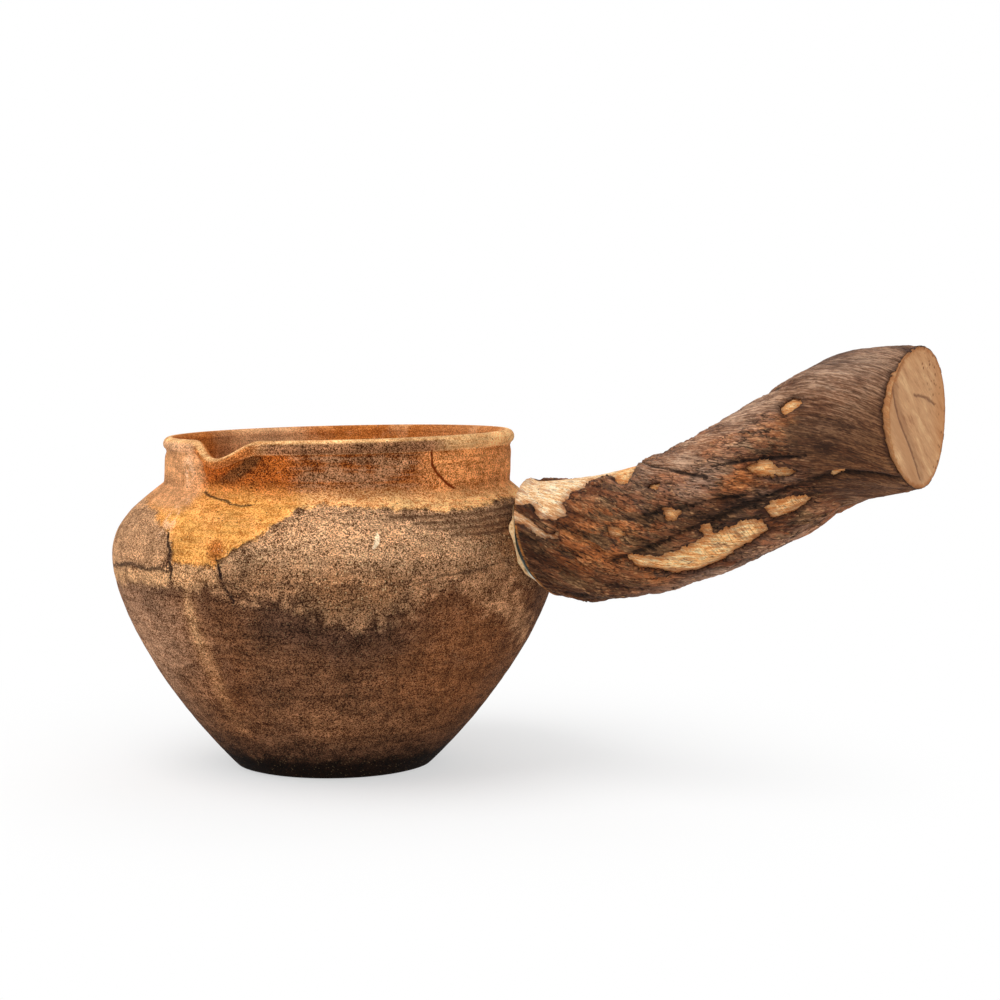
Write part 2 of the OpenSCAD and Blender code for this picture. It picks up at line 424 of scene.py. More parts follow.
class Recipe:
    """A finish in the making: most methods add one node and return its result."""

    def __init__(self, owner: bpy.types.Material | bpy.types.World) -> None:
        """Starts with no nodes.

        Args:
            owner: The material or world that the finish is for.
        """
        owner.use_nodes = True
        self.owner = owner
        self.tree = owner.node_tree
        self.tree.nodes.clear()

    def add(self, kind: str, inputs: dict, output: int | str = 0, **settings: object) -> Value:
        """Adds a node.

        Args:
            kind: Blender's name for the node.
            inputs: Values or results for its inputs, by name or place.
            output: Which result to return.
            settings: Options of the node itself.

        Returns:
            The node's result.
        """
        node = self.tree.nodes.new(kind)
        for key, value in settings.items():
            setattr(node, key, value)
        for key, value in inputs.items():
            if isinstance(value, Value):
                self.tree.links.new(value.socket, node.inputs[key])
            else:
                node.inputs[key].default_value = value
        return Value(self, node.outputs[output])

    def point(self) -> Value:
        """Returns the place on the piece, in metres."""
        return self.add("ShaderNodeTexCoord", {}, "Object")

    def field(self, name: str) -> Value:
        """Returns the number stored under name."""
        return self.add("ShaderNodeAttribute", {}, "Fac", attribute_name=name)

    def vector(self, name: str) -> Value:
        """Returns the vector stored under name."""
        return self.add("ShaderNodeAttribute", {}, "Vector", attribute_name=name)

    def blend(self, share: Value, first: object, second: object) -> Value:
        """Returns first, or second where share is 1, as a colour."""
        return self.add("ShaderNodeMix", {0: share, 6: first, 7: second}, 2, data_type="RGBA")

    def mix(self, share: Value | float, first: Value | float, second: Value | float) -> Value:
        """Returns first, or second where share is 1, as a number."""
        return self.add("ShaderNodeMix", {0: share, 2: first, 3: second}, 0, data_type="FLOAT")

    def coats(self, ground: Value, coats: Coats) -> Value:
        """Lays colours over a ground, in order.

        Args:
            ground: The colour below them.
            coats: For each coat, where it lies, how strongly, and its colour or a result.

        Returns:
            The colour on top.
        """
        for mask, strength, tint in coats:
            tint = tint.value if isinstance(tint, Enum) else tint
            ground = self.blend(mask * strength, ground, linear(tint) if isinstance(tint, tuple) else tint)
        return ground

    def done(self, colour: Value, roughness: float, normal: Value, **fixed: float) -> bpy.types.Material:
        """Closes the finish.

        Args:
            colour: Surface colour.
            roughness: Surface roughness.
            normal: Surface direction.
            fixed: Other shader values that are the same all over.

        Returns:
            The material.
        """
        inputs = {"Base Color": colour, "Roughness": roughness, "Normal": normal}
        inputs.update({key.replace("_", " "): value for key, value in fixed.items()})
        self.close(self.add("ShaderNodeBsdfPrincipled", inputs), "ShaderNodeOutputMaterial")
        return self.owner

    def close(self, surface: Value, kind: str) -> None:
        """Joins a surface to an output node of the given kind."""
        self.tree.links.new(surface.socket, self.tree.nodes.new(kind).inputs["Surface"])


@dataclass(frozen=True)
class Speckle:
    """A clay colour: that of its light and that of its dark grains."""

    light: Colour
    dark: Colour


class Clay(Enum):
    """The colours that the fire left on the clay."""

    BODY = Speckle((138, 94, 64), (46, 20, 6))
    WARM = Speckle((160, 102, 62), (74, 34, 10))
    # Painted light: the belly's left side, lighter and pinker as if lit from the left, with a painted sheen
    PINK_LIT_SIDE = Speckle((222, 172, 134), (116, 66, 34))
    LOW_BAND = Speckle((169, 117, 80), (64, 29, 7))
    SCORCH = Speckle((104, 72, 53), (30, 13, 7))
    STREAK = Speckle((226, 166, 112), (124, 70, 34))
    DIAG = Speckle((206, 152, 108), (90, 48, 20))
    PALE = Speckle((244, 190, 136), (132, 80, 44))
    LEFT = Speckle((226, 174, 128), (132, 86, 54))
    ASH = Speckle((246, 195, 147), (108, 64, 35))
    ASH_SHADE = Speckle((178, 125, 84), (52, 24, 9))
    # Darker ash: its own streaks, and also painted shade round the handle's joint
    ASH_DARK_AND_SHADE = Speckle((150, 102, 66), (42, 20, 7))
    FLASH = Speckle((255, 190, 104), (222, 128, 50))
    NECK_BAND = Speckle((255, 214, 146), (230, 126, 58))
    RUST = Speckle((203, 111, 45), (91, 33, 3))
    NECK_GREY = Speckle((186, 132, 92), (74, 40, 16))
    NECK_RIGHT = Speckle((255, 176, 108), (172, 88, 30))
    NECK_LEFT = Speckle((242, 178, 122), (198, 132, 84))
    # Painted shade under the lip's right flank, laid as a dark smudge
    SMUDGE_AND_SHADE = Speckle((146, 88, 46), (50, 24, 4))
    BEAD = Speckle((188, 132, 92), (76, 41, 17))
    BEAD_TAN = Speckle((255, 212, 150), (238, 156, 88))
    BEAD_LEFT = Speckle((250, 196, 148), (198, 134, 88))
    LIP = Speckle((226, 142, 76), (150, 80, 34))
    INSIDE = Speckle((220, 134, 64), (178, 92, 34))
    INSIDE_GREY = Speckle((250, 192, 138), (224, 156, 106))
    INSIDE_SMOKE = Speckle((186, 132, 92), (130, 84, 54))
    CHALK = Speckle((248, 212, 178), (212, 158, 116))
    # Soot on the foot, with painted contact shade near the floor
    SOOT_AND_SHADE = Speckle((34, 19, 11), (8, 4, 2))
    CHIP = Speckle((250, 228, 192), (238, 206, 164))


Layers = list[tuple[Value, Clay]]


class ClayLine(Enum):
    """Single colours on the clay."""

    GLINT = (255, 220, 164)
    PIT = (46, 25, 13)
    RUST = (112, 42, 8)
    CRACK = (38, 24, 20)
    # Painted shade in the throwing grooves
    GROOVE_SHADE = (72, 44, 30)


class FiredClay:
    """The pot's finish: speckled clay with ash on its shoulder and a flash of orange round its neck.

    Stored outlines and soft spots each lay one clay colour over those before it. Light and dark grains are
    coloured apart and then mixed by the sand's own noise.
    """

    SAND = 4600.0
    FINE = Grain(3600, 2.0, 0.6)
    BLOTCH = Grain(300, 5.0, 0.65)
    DRIFT = Grain(75, 4.0, 0.6)
    MOTTLE = Grain(150, 5.0, 0.72)
    RINGS = Grain((22, 22, 1000), 4.0, 0.62)
    SCUFF = Grain((75, 75, 330), 4.0, 0.7)
    STREAKS = Grain((160, 160, 900), 4.0, 0.65)
    DARK_GAIN = 0.78
    LIGHT_GAIN = 1.17
    ROUGHNESS = 0.9
    SPECULAR = 0.06
    BUMP = 0.16 * MM

    def __init__(self) -> None:
        """Sets up the noises and the places that the coats share."""
        self.clay = Recipe(bpy.data.materials.new("fired_clay"))
        self.point = self.clay.point()
        self.fine = self.point.cloud(self.FINE)
        self.blotch = self.point.cloud(self.BLOTCH)
        self.drift = self.point.cloud(self.DRIFT)
        self.mottle = self.point.cloud(self.MOTTLE).band(0.28, 0.72)
        self.rings = self.point.cloud(self.RINGS)
        self.streaky = self.point.cloud(self.STREAKS)
        self.wander = self.blotch.swing(7.0) + self.fine.swing(2.5)
        self.level = self.clay.field("level")
        self.height = self.level + self.wander * 0.5
        self.angle = self.point.part("Y").math("ARCTAN2", self.point.part("X")) * (180 / math.pi)
        self.behind = self.angle.band(-142, -174)
        self.front = self.behind.band(0.8, 0.0)
        self.outside = self.clay.field("outside")
        self.ash = self.zone("ash", 4.4, 2.4)
        self.flash = self.zone("flash", 0.6, 0.6)

    def zone(self, name: str, edge: float, stray: float) -> Value:
        """Returns 1 inside a stored outline, with a soft edge that strays, both in millimetres."""
        return (self.clay.field(name) + self.wander * stray).band(-edge, edge)

    def spot(self, at: float, up: float, wide: float, tall: float, stray: float = 0.5) -> Value:
        """Makes a soft spot.

        Args:
            at: Plan angle of its middle, in degrees.
            up: Height of its middle, in millimetres.
            wide: Half its width, in degrees.
            tall: Half its height, in millimetres.
            stray: How far its grainy edge wanders.

        Returns:
            1 in its middle.
        """
        across, above = (self.angle - at) / wide, (self.level - up) / tall
        far = (across * across + above * above).math("SQRT") + self.wander * (-0.22 * stray)
        return far.band(1.4, 0.3)

    def turned(self, low: float, high: float, stray: float = 0.0) -> Value:
        """Returns a step from 0 at one plan angle to 1 at another, with an edge that may stray."""
        return (self.angle + self.wander * stray).band(low, high) if stray else self.angle.band(low, high)

    def belly_coats(self) -> Layers:
        """Lists the coats of the belly and the shoulder, below the ash.

        Returns:
            Each coat's place and colour.
        """
        back = self.zone("back_ash", 2.2, 1.5)
        return [
            (self.spot(-14, 30, 30, 20) * 0.8, Clay.WARM),
            (self.spot(-96, 26, 14, 22) * 0.6, Clay.WARM),
            # Painted light and sheen on the belly's left side
            (self.spot(-128, 36, 32, 20) * 0.8, Clay.PINK_LIT_SIDE),
            (self.spot(-64, 13.5, 44, 5.5, 0.9) * 0.9, Clay.LOW_BAND),
            (self.spot(-110, 22, 8, 5, 0.9) * 0.7, Clay.LOW_BAND),
            (self.drift.band(0.5, 0.66) * 0.5, Clay.SCORCH),
            (self.zone("scorch", 4.5, 1.4), Clay.SCORCH),
            (self.spot(-97, 30, 3.6, 16, 0.8) * 0.4, Clay.STREAK),
            (self.spot(-97, 39, 1.6, 8, 0.8) * 0.7, Clay.PALE),
            (self.zone("diag", 2.2, 1.6) * 0.8, Clay.DIAG),
            (back, Clay.ASH),
            (back * self.drift.band(0.42, 0.6), Clay.ASH_SHADE),
            (self.zone("pale", 1.4, 1.2) * 0.9, Clay.PALE),
            (self.zone("left", 0.9, 1.0), Clay.LEFT),
        ]

    def shoulder_coats(self) -> Layers:
        """Lists the coats of ash and of the orange flash above it.

        Returns:
            Each coat's place and colour.
        """
        ash, flash = self.ash, self.flash
        return [
            (ash, Clay.ASH),
            (ash * self.height.band(56.0, 47.5) * 0.9, Clay.ASH_SHADE),
            (ash * self.mottle.band(0.45, 0.8) * 0.5, Clay.ASH_SHADE),
            (ash * self.streaky.band(0.54, 0.64) * 0.45, Clay.ASH_DARK_AND_SHADE),
            # Painted shade on the shoulder round the handle's joint
            (ash * self.spot(0, 55, 24, 10), Clay.ASH_DARK_AND_SHADE),
            (flash, Clay.FLASH),
            (flash * self.mottle.band(0.4, 0.75) * 0.4, Clay.NECK_RIGHT),
            (flash * self.spot(-88, 55.5, 2.4, 2.8) * 0.8, Clay.RUST),
            (flash * (self.turned(-72, -62) | self.behind), Clay.NECK_BAND),
        ]

    def neck_coats(self) -> Layers:
        """Lists the coats of the neck.

        Returns:
            Each coat's place and colour.
        """
        outside = self.outside
        neck = self.height.band(65.0, 70.5) * outside
        left = outside * self.turned(-101, -108, 1.5) * self.front * self.flash
        streaks = (self.rings + self.blotch * 0.6).band(0.62, 0.9)
        return [
            (neck, Clay.RUST),
            (neck * (self.turned(-36, -24) | self.behind), Clay.NECK_RIGHT),
            (left * self.height.band(61.5, 65.0), Clay.NECK_LEFT),
            (neck * self.turned(-74, -66, 2.0) * self.turned(-25, -35, 2.0) * streaks, Clay.NECK_GREY),
            # Painted shade under the lip's right flank
            (outside * self.zone("lip_shade", 0.9, 0.7), Clay.SMUDGE_AND_SHADE),
            (outside * self.spot(-113, 72, 3.4, 4, 0.9) * self.mottle.band(0.5, 0.62) * 0.5, Clay.CHALK),
            (outside * self.spot(-107, 62, 2.6, 4.5, 0.9) * self.mottle.band(0.45, 0.6) * 0.6, Clay.CHALK),
        ]

    def rim_coats(self) -> Layers:
        """Lists the coats of the rolled edge and of the hollow.

        Returns:
            Each coat's place and colour.
        """
        bead = self.level.band(76.0, 76.5) * self.outside
        inside = self.outside.rest()
        return [
            (bead, Clay.BEAD_TAN),
            (bead * self.turned(-98, -108) * self.front, Clay.BEAD_LEFT),
            (bead * self.turned(-112, -106) * self.turned(-78, -86), Clay.LIP),
            (bead * self.turned(-86, -78) * self.turned(-16, -28), Clay.BEAD),
            # Paler top edge of the rolled rim: partly wear, partly a painted highlight
            (bead * self.level.band(78.3, 79.0) * 0.85, Clay.BEAD_TAN),
            (inside, Clay.INSIDE),
            (inside * self.spot(150, 77, 21, 9), Clay.INSIDE_GREY),
            (inside * self.spot(62, 76, 26, 8) * 0.25, Clay.INSIDE_GREY),
            (inside * self.spot(170, 76, 6, 9) * 0.4, Clay.INSIDE_SMOKE),
            (inside * self.spot(147, 77, 6, 5) * 0.35, Clay.INSIDE_SMOKE),
            (inside * self.drift.band(0.52, 0.66) * 0.5, Clay.INSIDE_GREY),
        ]

    def foot_coats(self) -> Layers:
        """Lists the coats of the foot, darker towards the floor with soot and painted contact shade, and the
        chip on the shoulder.

        Returns:
            Each coat's place and colour.
        """
        return [
            (self.height.band(14.0, 6.0) * 0.75, Clay.SCORCH),
            # Soot, with painted contact shade, at the very foot
            (self.height.band(8.0, 3.5), Clay.SOOT_AND_SHADE),
            (self.clay.field("chip").band(-0.15, 0.15), Clay.CHIP),
        ]

    def speckled(self, mixed: Value) -> Value:
        """Lays all the coats and mixes their light and dark grains.

        Args:
            mixed: Noise of the grains, dark at about 0.2 and light at about 0.9.

        Returns:
            The clay's colour before its lines.
        """
        clay = self.clay
        light, dark = linear(Clay.BODY.value.light), linear(Clay.BODY.value.dark)
        regions = (self.belly_coats, self.shoulder_coats, self.neck_coats, self.rim_coats, self.foot_coats)
        for region in regions:
            for mask, choice in region():
                light = clay.blend(mask, light, linear(choice.value.light))
                dark = clay.blend(mask, dark, linear(choice.value.dark))
        colour = clay.blend(mixed.band(0.18, 0.88), dark.dim(self.DARK_GAIN), light.dim(self.LIGHT_GAIN))
        colour = clay.coats(colour, (
            (self.point.pits(1900, 0.4, 0.8) * (self.ash * 0.55 + 0.12), 1.0, ClayLine.GLINT),
            (self.point.pits(760, 0.22, 0.64), 0.8, ClayLine.PIT),
        ))
        scuff = self.point.cloud(self.SCUFF).band(0.32, 0.68)
        glow = clay.mix(self.outside, 1.0, clay.mix(self.mottle, 0.76, 1.24) * clay.mix(scuff, 0.84, 1.16))
        lines = clay.mix(self.rings.band(0.3, 0.7), 0.86, 1.14)
        return colour.dim(glow * lines * clay.field("tone"))

    def lined(self, colour: Value) -> Value:
        """Draws the rust line, the cracks, and painted shade along the throwing grooves.

        Args:
            colour: The clay's colour.

        Returns:
            The colour with its lines.
        """
        clay = self.clay
        broken = self.blotch.band(0.3, 0.46)
        rust = abs(clay.field("rust_side") + self.wander * 0.15).band(0.6, 0.1)
        rust = rust * clay.field("rust").band(1.4, 0.3) * self.outside
        crack = abs(clay.field("crack_side") + self.wander * 0.8).band(1.1, 0.3) * broken
        crack = crack * clay.field("crack").band(4.0, 1.5) * clay.field("crack_depth") * self.outside
        return clay.coats(colour, (
            (rust, 1.0, ClayLine.RUST),
            (crack, 1.0, ClayLine.CRACK),
            # Painted shade along the throwing grooves
            (clay.field("groove") * broken, 0.85, ClayLine.GROOVE_SHADE),
        ))

    def material(self) -> bpy.types.Material:
        """Puts the finish together.

        Returns:
            The clay's material.
        """
        clumps = self.blotch - 0.5 + (self.streaky - 0.5)
        mixed = self.point.grains(self.SAND) * 0.62 + self.fine.band(0.3, 0.7) * 0.38 + clumps * 0.55
        colour = self.lined(self.speckled(mixed))
        normal = (mixed + self.blotch * 0.8).bump(self.BUMP)
        return self.clay.done(colour, self.ROUGHNESS, normal, Specular_IOR_Level=self.SPECULAR)


@dataclass(frozen=True)
class Crack:
    """A crack in the clay: its line, its width in millimetres and how dark it is."""

    line: Marks
    width: float
    depth: float


@dataclass
class PotBody:
    """The thrown pot in one piece of clay."""

    foot_r: float = 22.6 * MM
    foot_edge: float = 1.6 * MM
    belly_r: float = 53.0 * MM
    belly_z: float = 51.0 * MM
    flare_out: float = 15.4 * MM
    flare_up: float = 14.6 * MM
    belly_full: float = 14.3 * MM
    shoulder_full: float = 8.0 * MM
    shoulder_run: float = 6.4 * MM
    shoulder_drop: float = 5.2 * MM
    neck_r: float = 41.2 * MM
    neck_z: float = 67.8 * MM
    wall_t: float = 3.4 * MM
    slant_share: float = 0.6
    floor_t: float = 5.0 * MM
    rim_z: float = 79.4 * MM
    bead_r: float = 1.7 * MM
    bead_out: float = 0.65 * MM
    rim_shift: float = 1.2 * MM
    rim_lean_angle: float = 32.0
    rim_tilt: float = 1.2
    split_z: float = 69.0 * MM
    lip_angle: float = -98.5
    lip_half: float = 14.5
    lip_drop: float = 3.9 * MM
    lip_reach: float = 2.4 * MM

    steps: int = 420
    fine_from: float = 42.0 * MM
    fine_row: float = 0.62 * MM
    mid_row: float = 0.95 * MM
    inner_row: float = 1.5 * MM
    rough_row: float = 2.0 * MM
    least_row: float = 0.05 * MM
    mm_per_degree: float = 0.85
    mark_reach: float = 15.0

    # Relief in millimetres, the share of it on the rolled edge, and the lumps of its noises in a metre
    ring_h: float = 0.09
    inner_ring_h: float = 0.12
    dent_h: float = 0.22
    groove_h: float = 0.4
    groove_width: float = 0.42
    ash_h: float = 0.12
    crack_h: float = 0.2
    chip_h: float = 0.2
    bead_foot: float = 76.0
    bead_calm: float = 0.4
    undercut_z: float = 75.7
    undercut_wide: float = 0.7
    ring_scale: Place = (9, 9, 420)
    dent_scale: float = 26.0

    FLASH: Marks = (
        (-200, 65), (-165, 65), (-140, 64.6), (-128, 63.6), (-117, 62.4), (-111, 60), (-103, 57.5),
        (-101, 52.5), (-88, 52), (-86, 54), (-80, 57.5), (-70, 64), (-62, 65.8), (-40, 64.3), (-20, 63.6),
        (0, 65), (40, 65), (70, 58), (84, 57), (95, 64), (130, 66), (160, 65), (200, 66), (200, 95),
        (-200, 95),
    )
    ASH: Marks = (
        (-86, 54), (-80, 57.5), (-70, 64), (-62, 66), (-40, 64.5), (-20, 63.8), (0, 65.2), (40, 65.2),
        (44, 52), (20, 49), (-5, 48), (-12, 51), (-20, 50.5), (-27, 50.2), (-36, 49.6), (-42, 44),
        (-52, 41.0), (-60, 41.6), (-66, 45), (-72, 47.5), (-86, 47),
    )
    BACK_ASH: Marks = (
        (44, 64), (50, 52), (75, 46), (100, 44), (130, 48), (150, 51), (180, 50), (199, 48), (203, 54),
        (200, 66), (130, 66), (95, 64), (84, 57), (70, 58),
    )
    LEFT: Marks = (
        (-160, 66.5), (-135, 68.5), (-114, 68), (-106, 66), (-110, 60), (-103, 57), (-102, 53), (-106, 50.5),
        (-120, 50.4), (-128, 49.8), (-140, 48.6), (-158, 49), (-164, 54), (-161, 60),
    )
    PALE_BAND: Marks = (
        (-162, 49), (-140, 48.6), (-128, 49.8), (-120, 50.4), (-106, 50.5), (-101, 52), (-88, 51.8),
        (-86, 47.5), (-100, 47), (-118, 46.4), (-130, 45.4), (-150, 45.5), (-160, 46.5),
    )
    SCORCH: Marks = (
        (-78, 45), (-66, 45), (-60, 41), (-52, 40.5), (-43, 42), (-42, 35), (-58, 32.5), (-78, 35),
    )
    DIAG: Marks = (
        (-24, 49), (-13, 48), (0, 41), (10, 35), (12, 31), (4, 32), (-8, 38), (-18, 42), (-26, 46.5),
    )
    # Outline of the painted shade under the lip's right flank
    SMUDGE_AND_SHADE: Marks = ((-98.5, 69.8), (-92, 70), (-86, 72.4), (-82.5, 76), (-88.5, 76), (-95, 73.4))
    CHIP: Marks = (
        (-48.3, 60.2), (-47.5, 58.8), (-47.6, 57.6), (-48.6, 56.2), (-49.6, 56), (-48.9, 57.4),
        (-48.7, 58.6),
    )
    CRACKS: tuple[Crack, ...] = (
        Crack(((-104, 67.2), (-97, 66.2), (-92, 65.6), (-87, 64.6), (-83, 65.0)), 0.3, 0.85),
        Crack(((-87.2, 53), (-86.4, 51), (-86.8, 48.6), (-85.2, 46.6), (-84, 44.6)), 0.5, 1.0),
        Crack(((-87.2, 53), (-82, 56.2), (-77, 59.4)), 0.45, 0.6),
        Crack(((-105, 58), (-102.8, 55), (-103.2, 53), (-101.4, 51.4), (-102, 49)), 0.6, 0.95),
        Crack(((-140, 48.6), (-128, 49.8), (-120, 50.6), (-112, 50), (-106, 50.6), (-102, 50.2)), 0.5, 0.75),
        Crack(((-38, 48.4), (-31, 50), (-24, 50.2), (-16, 51.4)), 0.35, 0.55),
        Crack(((-80, 47.6), (-66, 48.6), (-52, 47.8), (-40, 49)), 0.6, 0.35),
        Crack(((-50, 63), (-49.4, 60), (-50.4, 55), (-50, 50)), 0.18, 0.4),
    )
    RUST_LINE: Marks = ((-27.6, 76), (-27.6, 73.5), (-25.6, 71.6), (-22.6, 69.8), (-18.6, 68))
    GROOVES: tuple[Marks, ...] = (
        ((-44, 62.6), (-20, 62.3), (6, 63.4)),
        ((-38, 61.2), (-20, 61.0), (8, 62.2)),
        ((-34, 59.8), (-16, 59.7), (6, 61.0)),
        ((-28, 58.4), (-14, 58.4), (2, 59.4)),
    )
    # Lighter and darker places: angle, height, the two half sizes and the change
    TONES: Swells = (
        (-55, 62, 16, 3, 1.38), (-55, 44, 14, 3, 0.74), (-92, 40, 5, 6, 0.85), (-78, 52, 9, 4, 0.8),
        (-20, 54, 14, 6, 1.12),
    )
    # Drift of the wall by height, and depth of the line under the rolled edge by angle
    DRIFT: Marks = ((0, -0.3), (14, 0.1), (28, 0.45), (42, 0.45), (52, 0.25), (60, 0.5), (70, 0.85), (80, 0))
    UNDERCUT: Marks = ((-150, 0.4), (-140, 0.1), (-108, 0.1), (-96, 0.4))

    def curves(self) -> tuple[Array, Array, Array]:
        """Outlines of the foot and the outer wall, of the rolled edge, and of the hollow.

        Returns:
            Three runs of points, each of radius and height.
        """
        t = np.linspace(0, 1, 200)
        turn = np.radians(np.linspace(-90, -40, 12))
        foot = np.c_[self.foot_r + self.foot_edge * np.cos(turn), self.foot_edge * (1 + np.sin(turn))]
        belly = [self.belly_r, self.belly_z]
        full = [self.belly_r, self.belly_z - self.belly_full]
        over = [self.belly_r, self.belly_z + self.shoulder_full]
        low = [self.foot_r + self.flare_out, self.flare_up]
        high = [self.neck_r + self.shoulder_run, self.neck_z - self.shoulder_drop]
        neck = [self.neck_r, self.neck_z]
        lower, upper = cubic([foot[-1], low, full, belly], t), cubic([belly, over, high, neck], t)
        outer = np.vstack([foot, lower, upper])
        slant = self.slant_share * self.wall_t
        level_in, slant_in = np.array([self.wall_t, 0]), np.array([self.wall_t, slant])
        floor = [self.foot_r - self.wall_t, self.floor_t]
        inner = np.vstack([
            cubic([floor, low + np.array([-slant, slant]), full - level_in, belly - level_in], t),
            cubic([belly - level_in, over - level_in, high - slant_in, neck - slant_in], t),
        ])
        roll = np.radians(np.linspace(-50, 200, 30))
        centre = np.array([self.neck_r + self.bead_out - self.bead_r, self.rim_z - self.bead_r])
        bead = centre + self.bead_r * np.c_[np.cos(roll), np.sin(roll)]
        return outer, bead, inner

    def outline(self) -> Array:
        """Draws the whole outline, from the middle of the foot to the middle of the floor.

        Returns:
            Points of radius and height.
        """
        outer, bead, inner = self.curves()
        under = self.rim_z - 2 * self.bead_r
        high = outer[:, 1] > self.fine_from
        runs = (
            (np.array([[0, 0], [self.foot_r, 0]]), self.rough_row),
            (outer[~high], self.mid_row),
            (np.vstack([outer[high], [[self.neck_r, under]], bead]), self.fine_row),
            (np.vstack([bead[-1:], [[self.neck_r - self.wall_t, under]], inner[::-1]]), self.inner_row),
            (np.array([inner[0], [0, self.floor_t]]), self.rough_row),
        )
        line = np.vstack([self.even(run, row) for run, row in runs])
        keep = np.r_[True, np.hypot(*np.diff(line, axis=0).T) > self.least_row]
        return line[keep]

    @staticmethod
    def even(run: Array, row: float) -> Array:
        """Spaces the points of a run evenly.

        Args:
            run: Points of radius and height.
            row: About how far apart the new ones lie.

        Returns:
            The new points.
        """
        along = np.r_[0, np.cumsum(np.hypot(*np.diff(run, axis=0).T))]
        places = np.linspace(0, along[-1], max(2, round(along[-1] / row) + 1))
        return np.c_[np.interp(places, along, run[:, 0]), np.interp(places, along, run[:, 1])]

    def wall_radius(self, height: Array) -> Array:
        """Returns the outer radius at each height."""
        outer, _, _ = self.curves()
        return np.interp(height, outer[:, 1], outer[:, 0])

    def lean(self, height: Array) -> Array:
        """Returns how far the wall drifts at each height, towards the rim's high side."""
        return np.interp(height / MM, *np.array(self.DRIFT).T) * MM

    def shaped(self, points: Array, relief: Array) -> Array:
        """Moves the turned wall into the pot's own shape.

        Args:
            points: The vertices of the turned wall.
            relief: How far each one stands proud, in metres.

        Returns:
            The moved vertices.
        """
        turn = np.arctan2(points[:, 1], points[:, 0])
        r = np.hypot(points[:, 0], points[:, 1]) + relief
        z = points[:, 2]
        up = ease((z - self.split_z) / (self.rim_z - self.split_z))
        off = off_angle(np.degrees(turn), self.lip_angle)
        pull = np.where(abs(off) < self.lip_half, np.cos(np.radians(90 * off / self.lip_half)) ** 2, 0)
        r = r + self.lip_reach * pull * up
        high = math.radians(self.rim_lean_angle)
        rise = r * np.cos(turn - high) * math.tan(math.radians(self.rim_tilt))
        drift = self.rim_shift * up + self.lean(z)
        return np.c_[
            r * np.cos(turn) + drift * math.cos(high),
            r * np.sin(turn) + drift * math.sin(high),
            z + up * (rise - self.lip_drop * pull),
        ]

    def unroll(self, marks: Marks) -> Array:
        """Returns marks with their angles turned into millimetres round the pot."""
        return np.array(marks, float) * [self.mm_per_degree, 1]

    def marked(self, points: Array) -> dict[str, Array]:
        """Works out how far each vertex lies from the marks on the clay.

        Args:
            points: The vertices of the turned wall.

        Returns:
            One run of numbers for each name that the finish reads.
        """
        angle = np.degrees(np.arctan2(points[:, 1], points[:, 0]))
        u, v = angle * self.mm_per_degree, points[:, 2] / MM
        behind = (angle % 360) * self.mm_per_degree
        r = np.hypot(points[:, 0], points[:, 1])
        wall = np.where(v > self.bead_foot, self.neck_r, self.wall_radius(points[:, 2])) - 0.5 * self.wall_t
        outside = ((r > wall) | (v < 2)).astype(float)
        areas = (
            ("flash", u, self.FLASH), ("ash", u, self.ASH), ("left", u, self.LEFT),
            ("pale", u, self.PALE_BAND), ("scorch", u, self.SCORCH), ("diag", u, self.DIAG),
            ("lip_shade", u, self.SMUDGE_AND_SHADE), ("chip", u, self.CHIP), ("back_ash", behind, self.BACK_ASH),
        )
        fields = {}
        for name, across, marks in areas:
            inside = area_field(across, v, self.unroll(marks))
            fields[name] = np.clip(inside, -self.mark_reach, self.mark_reach)
        gaps = [np.array(line_field(u, v, self.unroll(crack.line))) / crack.width for crack in self.CRACKS]
        nearest = np.argmin([gap for gap, _ in gaps], axis=0)
        fields["crack"] = np.min([gap for gap, _ in gaps], axis=0)
        fields["crack_side"] = np.choose(nearest, [side for _, side in gaps])
        fields["crack_depth"] = np.array([crack.depth for crack in self.CRACKS])[nearest]
        fields["rust"], fields["rust_side"] = line_field(u, v, self.unroll(self.RUST_LINE))
        gaps = [line_field(u, v, self.unroll(groove))[0] for groove in self.GROOVES]
        fields["groove"] = bell(np.min(gaps, axis=0) / self.groove_width) * outside
        tone = np.ones(len(points))
        for at, up, wide, tall, gain in self.TONES:
            tone *= 1 + (gain - 1) * bell(off_angle(angle, at) / wide, (v - up) / tall)
        fields["tone"] = np.where(outside > 0.5, tone, 1.0)
        fields["outside"], fields["level"] = outside, v
        return fields

    def relief(self, points: Array, fields: dict[str, Array]) -> Array:
        """Works out the throwing rings, the dents and the depth of the marks.

        Args:
            points: The vertices of the turned wall.
            fields: What marked gave for them.

        Returns:
            How far each vertex stands proud, in metres.
        """
        v = fields["level"]
        rings = ripple(points * self.ring_scale, 2)
        dents = ripple(points * self.dent_scale, 2)
        high = self.ring_h * rings + self.dent_h * dents - self.groove_h * fields["groove"]
        high += self.ash_h * ease((fields["ash"] + 0.3) / 0.6)
        high -= self.crack_h * fields["crack_depth"] * bell(fields["crack"] / 2)
        high += self.chip_h * ease((fields["chip"] + 0.2) / 0.4)
        calm = ease((v - 1) / 4) * np.where(v > self.bead_foot, self.bead_calm, 1.0)
        angle = np.degrees(np.arctan2(points[:, 1], points[:, 0]))
        undercut = np.interp(angle, *np.array(self.UNDERCUT).T)
        undercut = undercut * bell((v - self.undercut_z) / self.undercut_wide)
        return np.where(fields["outside"] > 0.5, high * calm - undercut, self.inner_ring_h * rings) * MM

    def build(self) -> bpy.types.Object:
        """Makes the pot.

        Returns:
            The pot's piece.
        """
        mesh = as_mesh(spun(upright(self.outline()), Axis.UP, self.steps), "fired_pot")
        points = mesh_points(mesh)
        fields = self.marked(points)
        for name, values in fields.items():
            note_field(mesh, name, values)
        move_points(mesh, self.shaped(points, self.relief(points, fields)))
        return placed(mesh, FiredClay().material(), "pot_body")


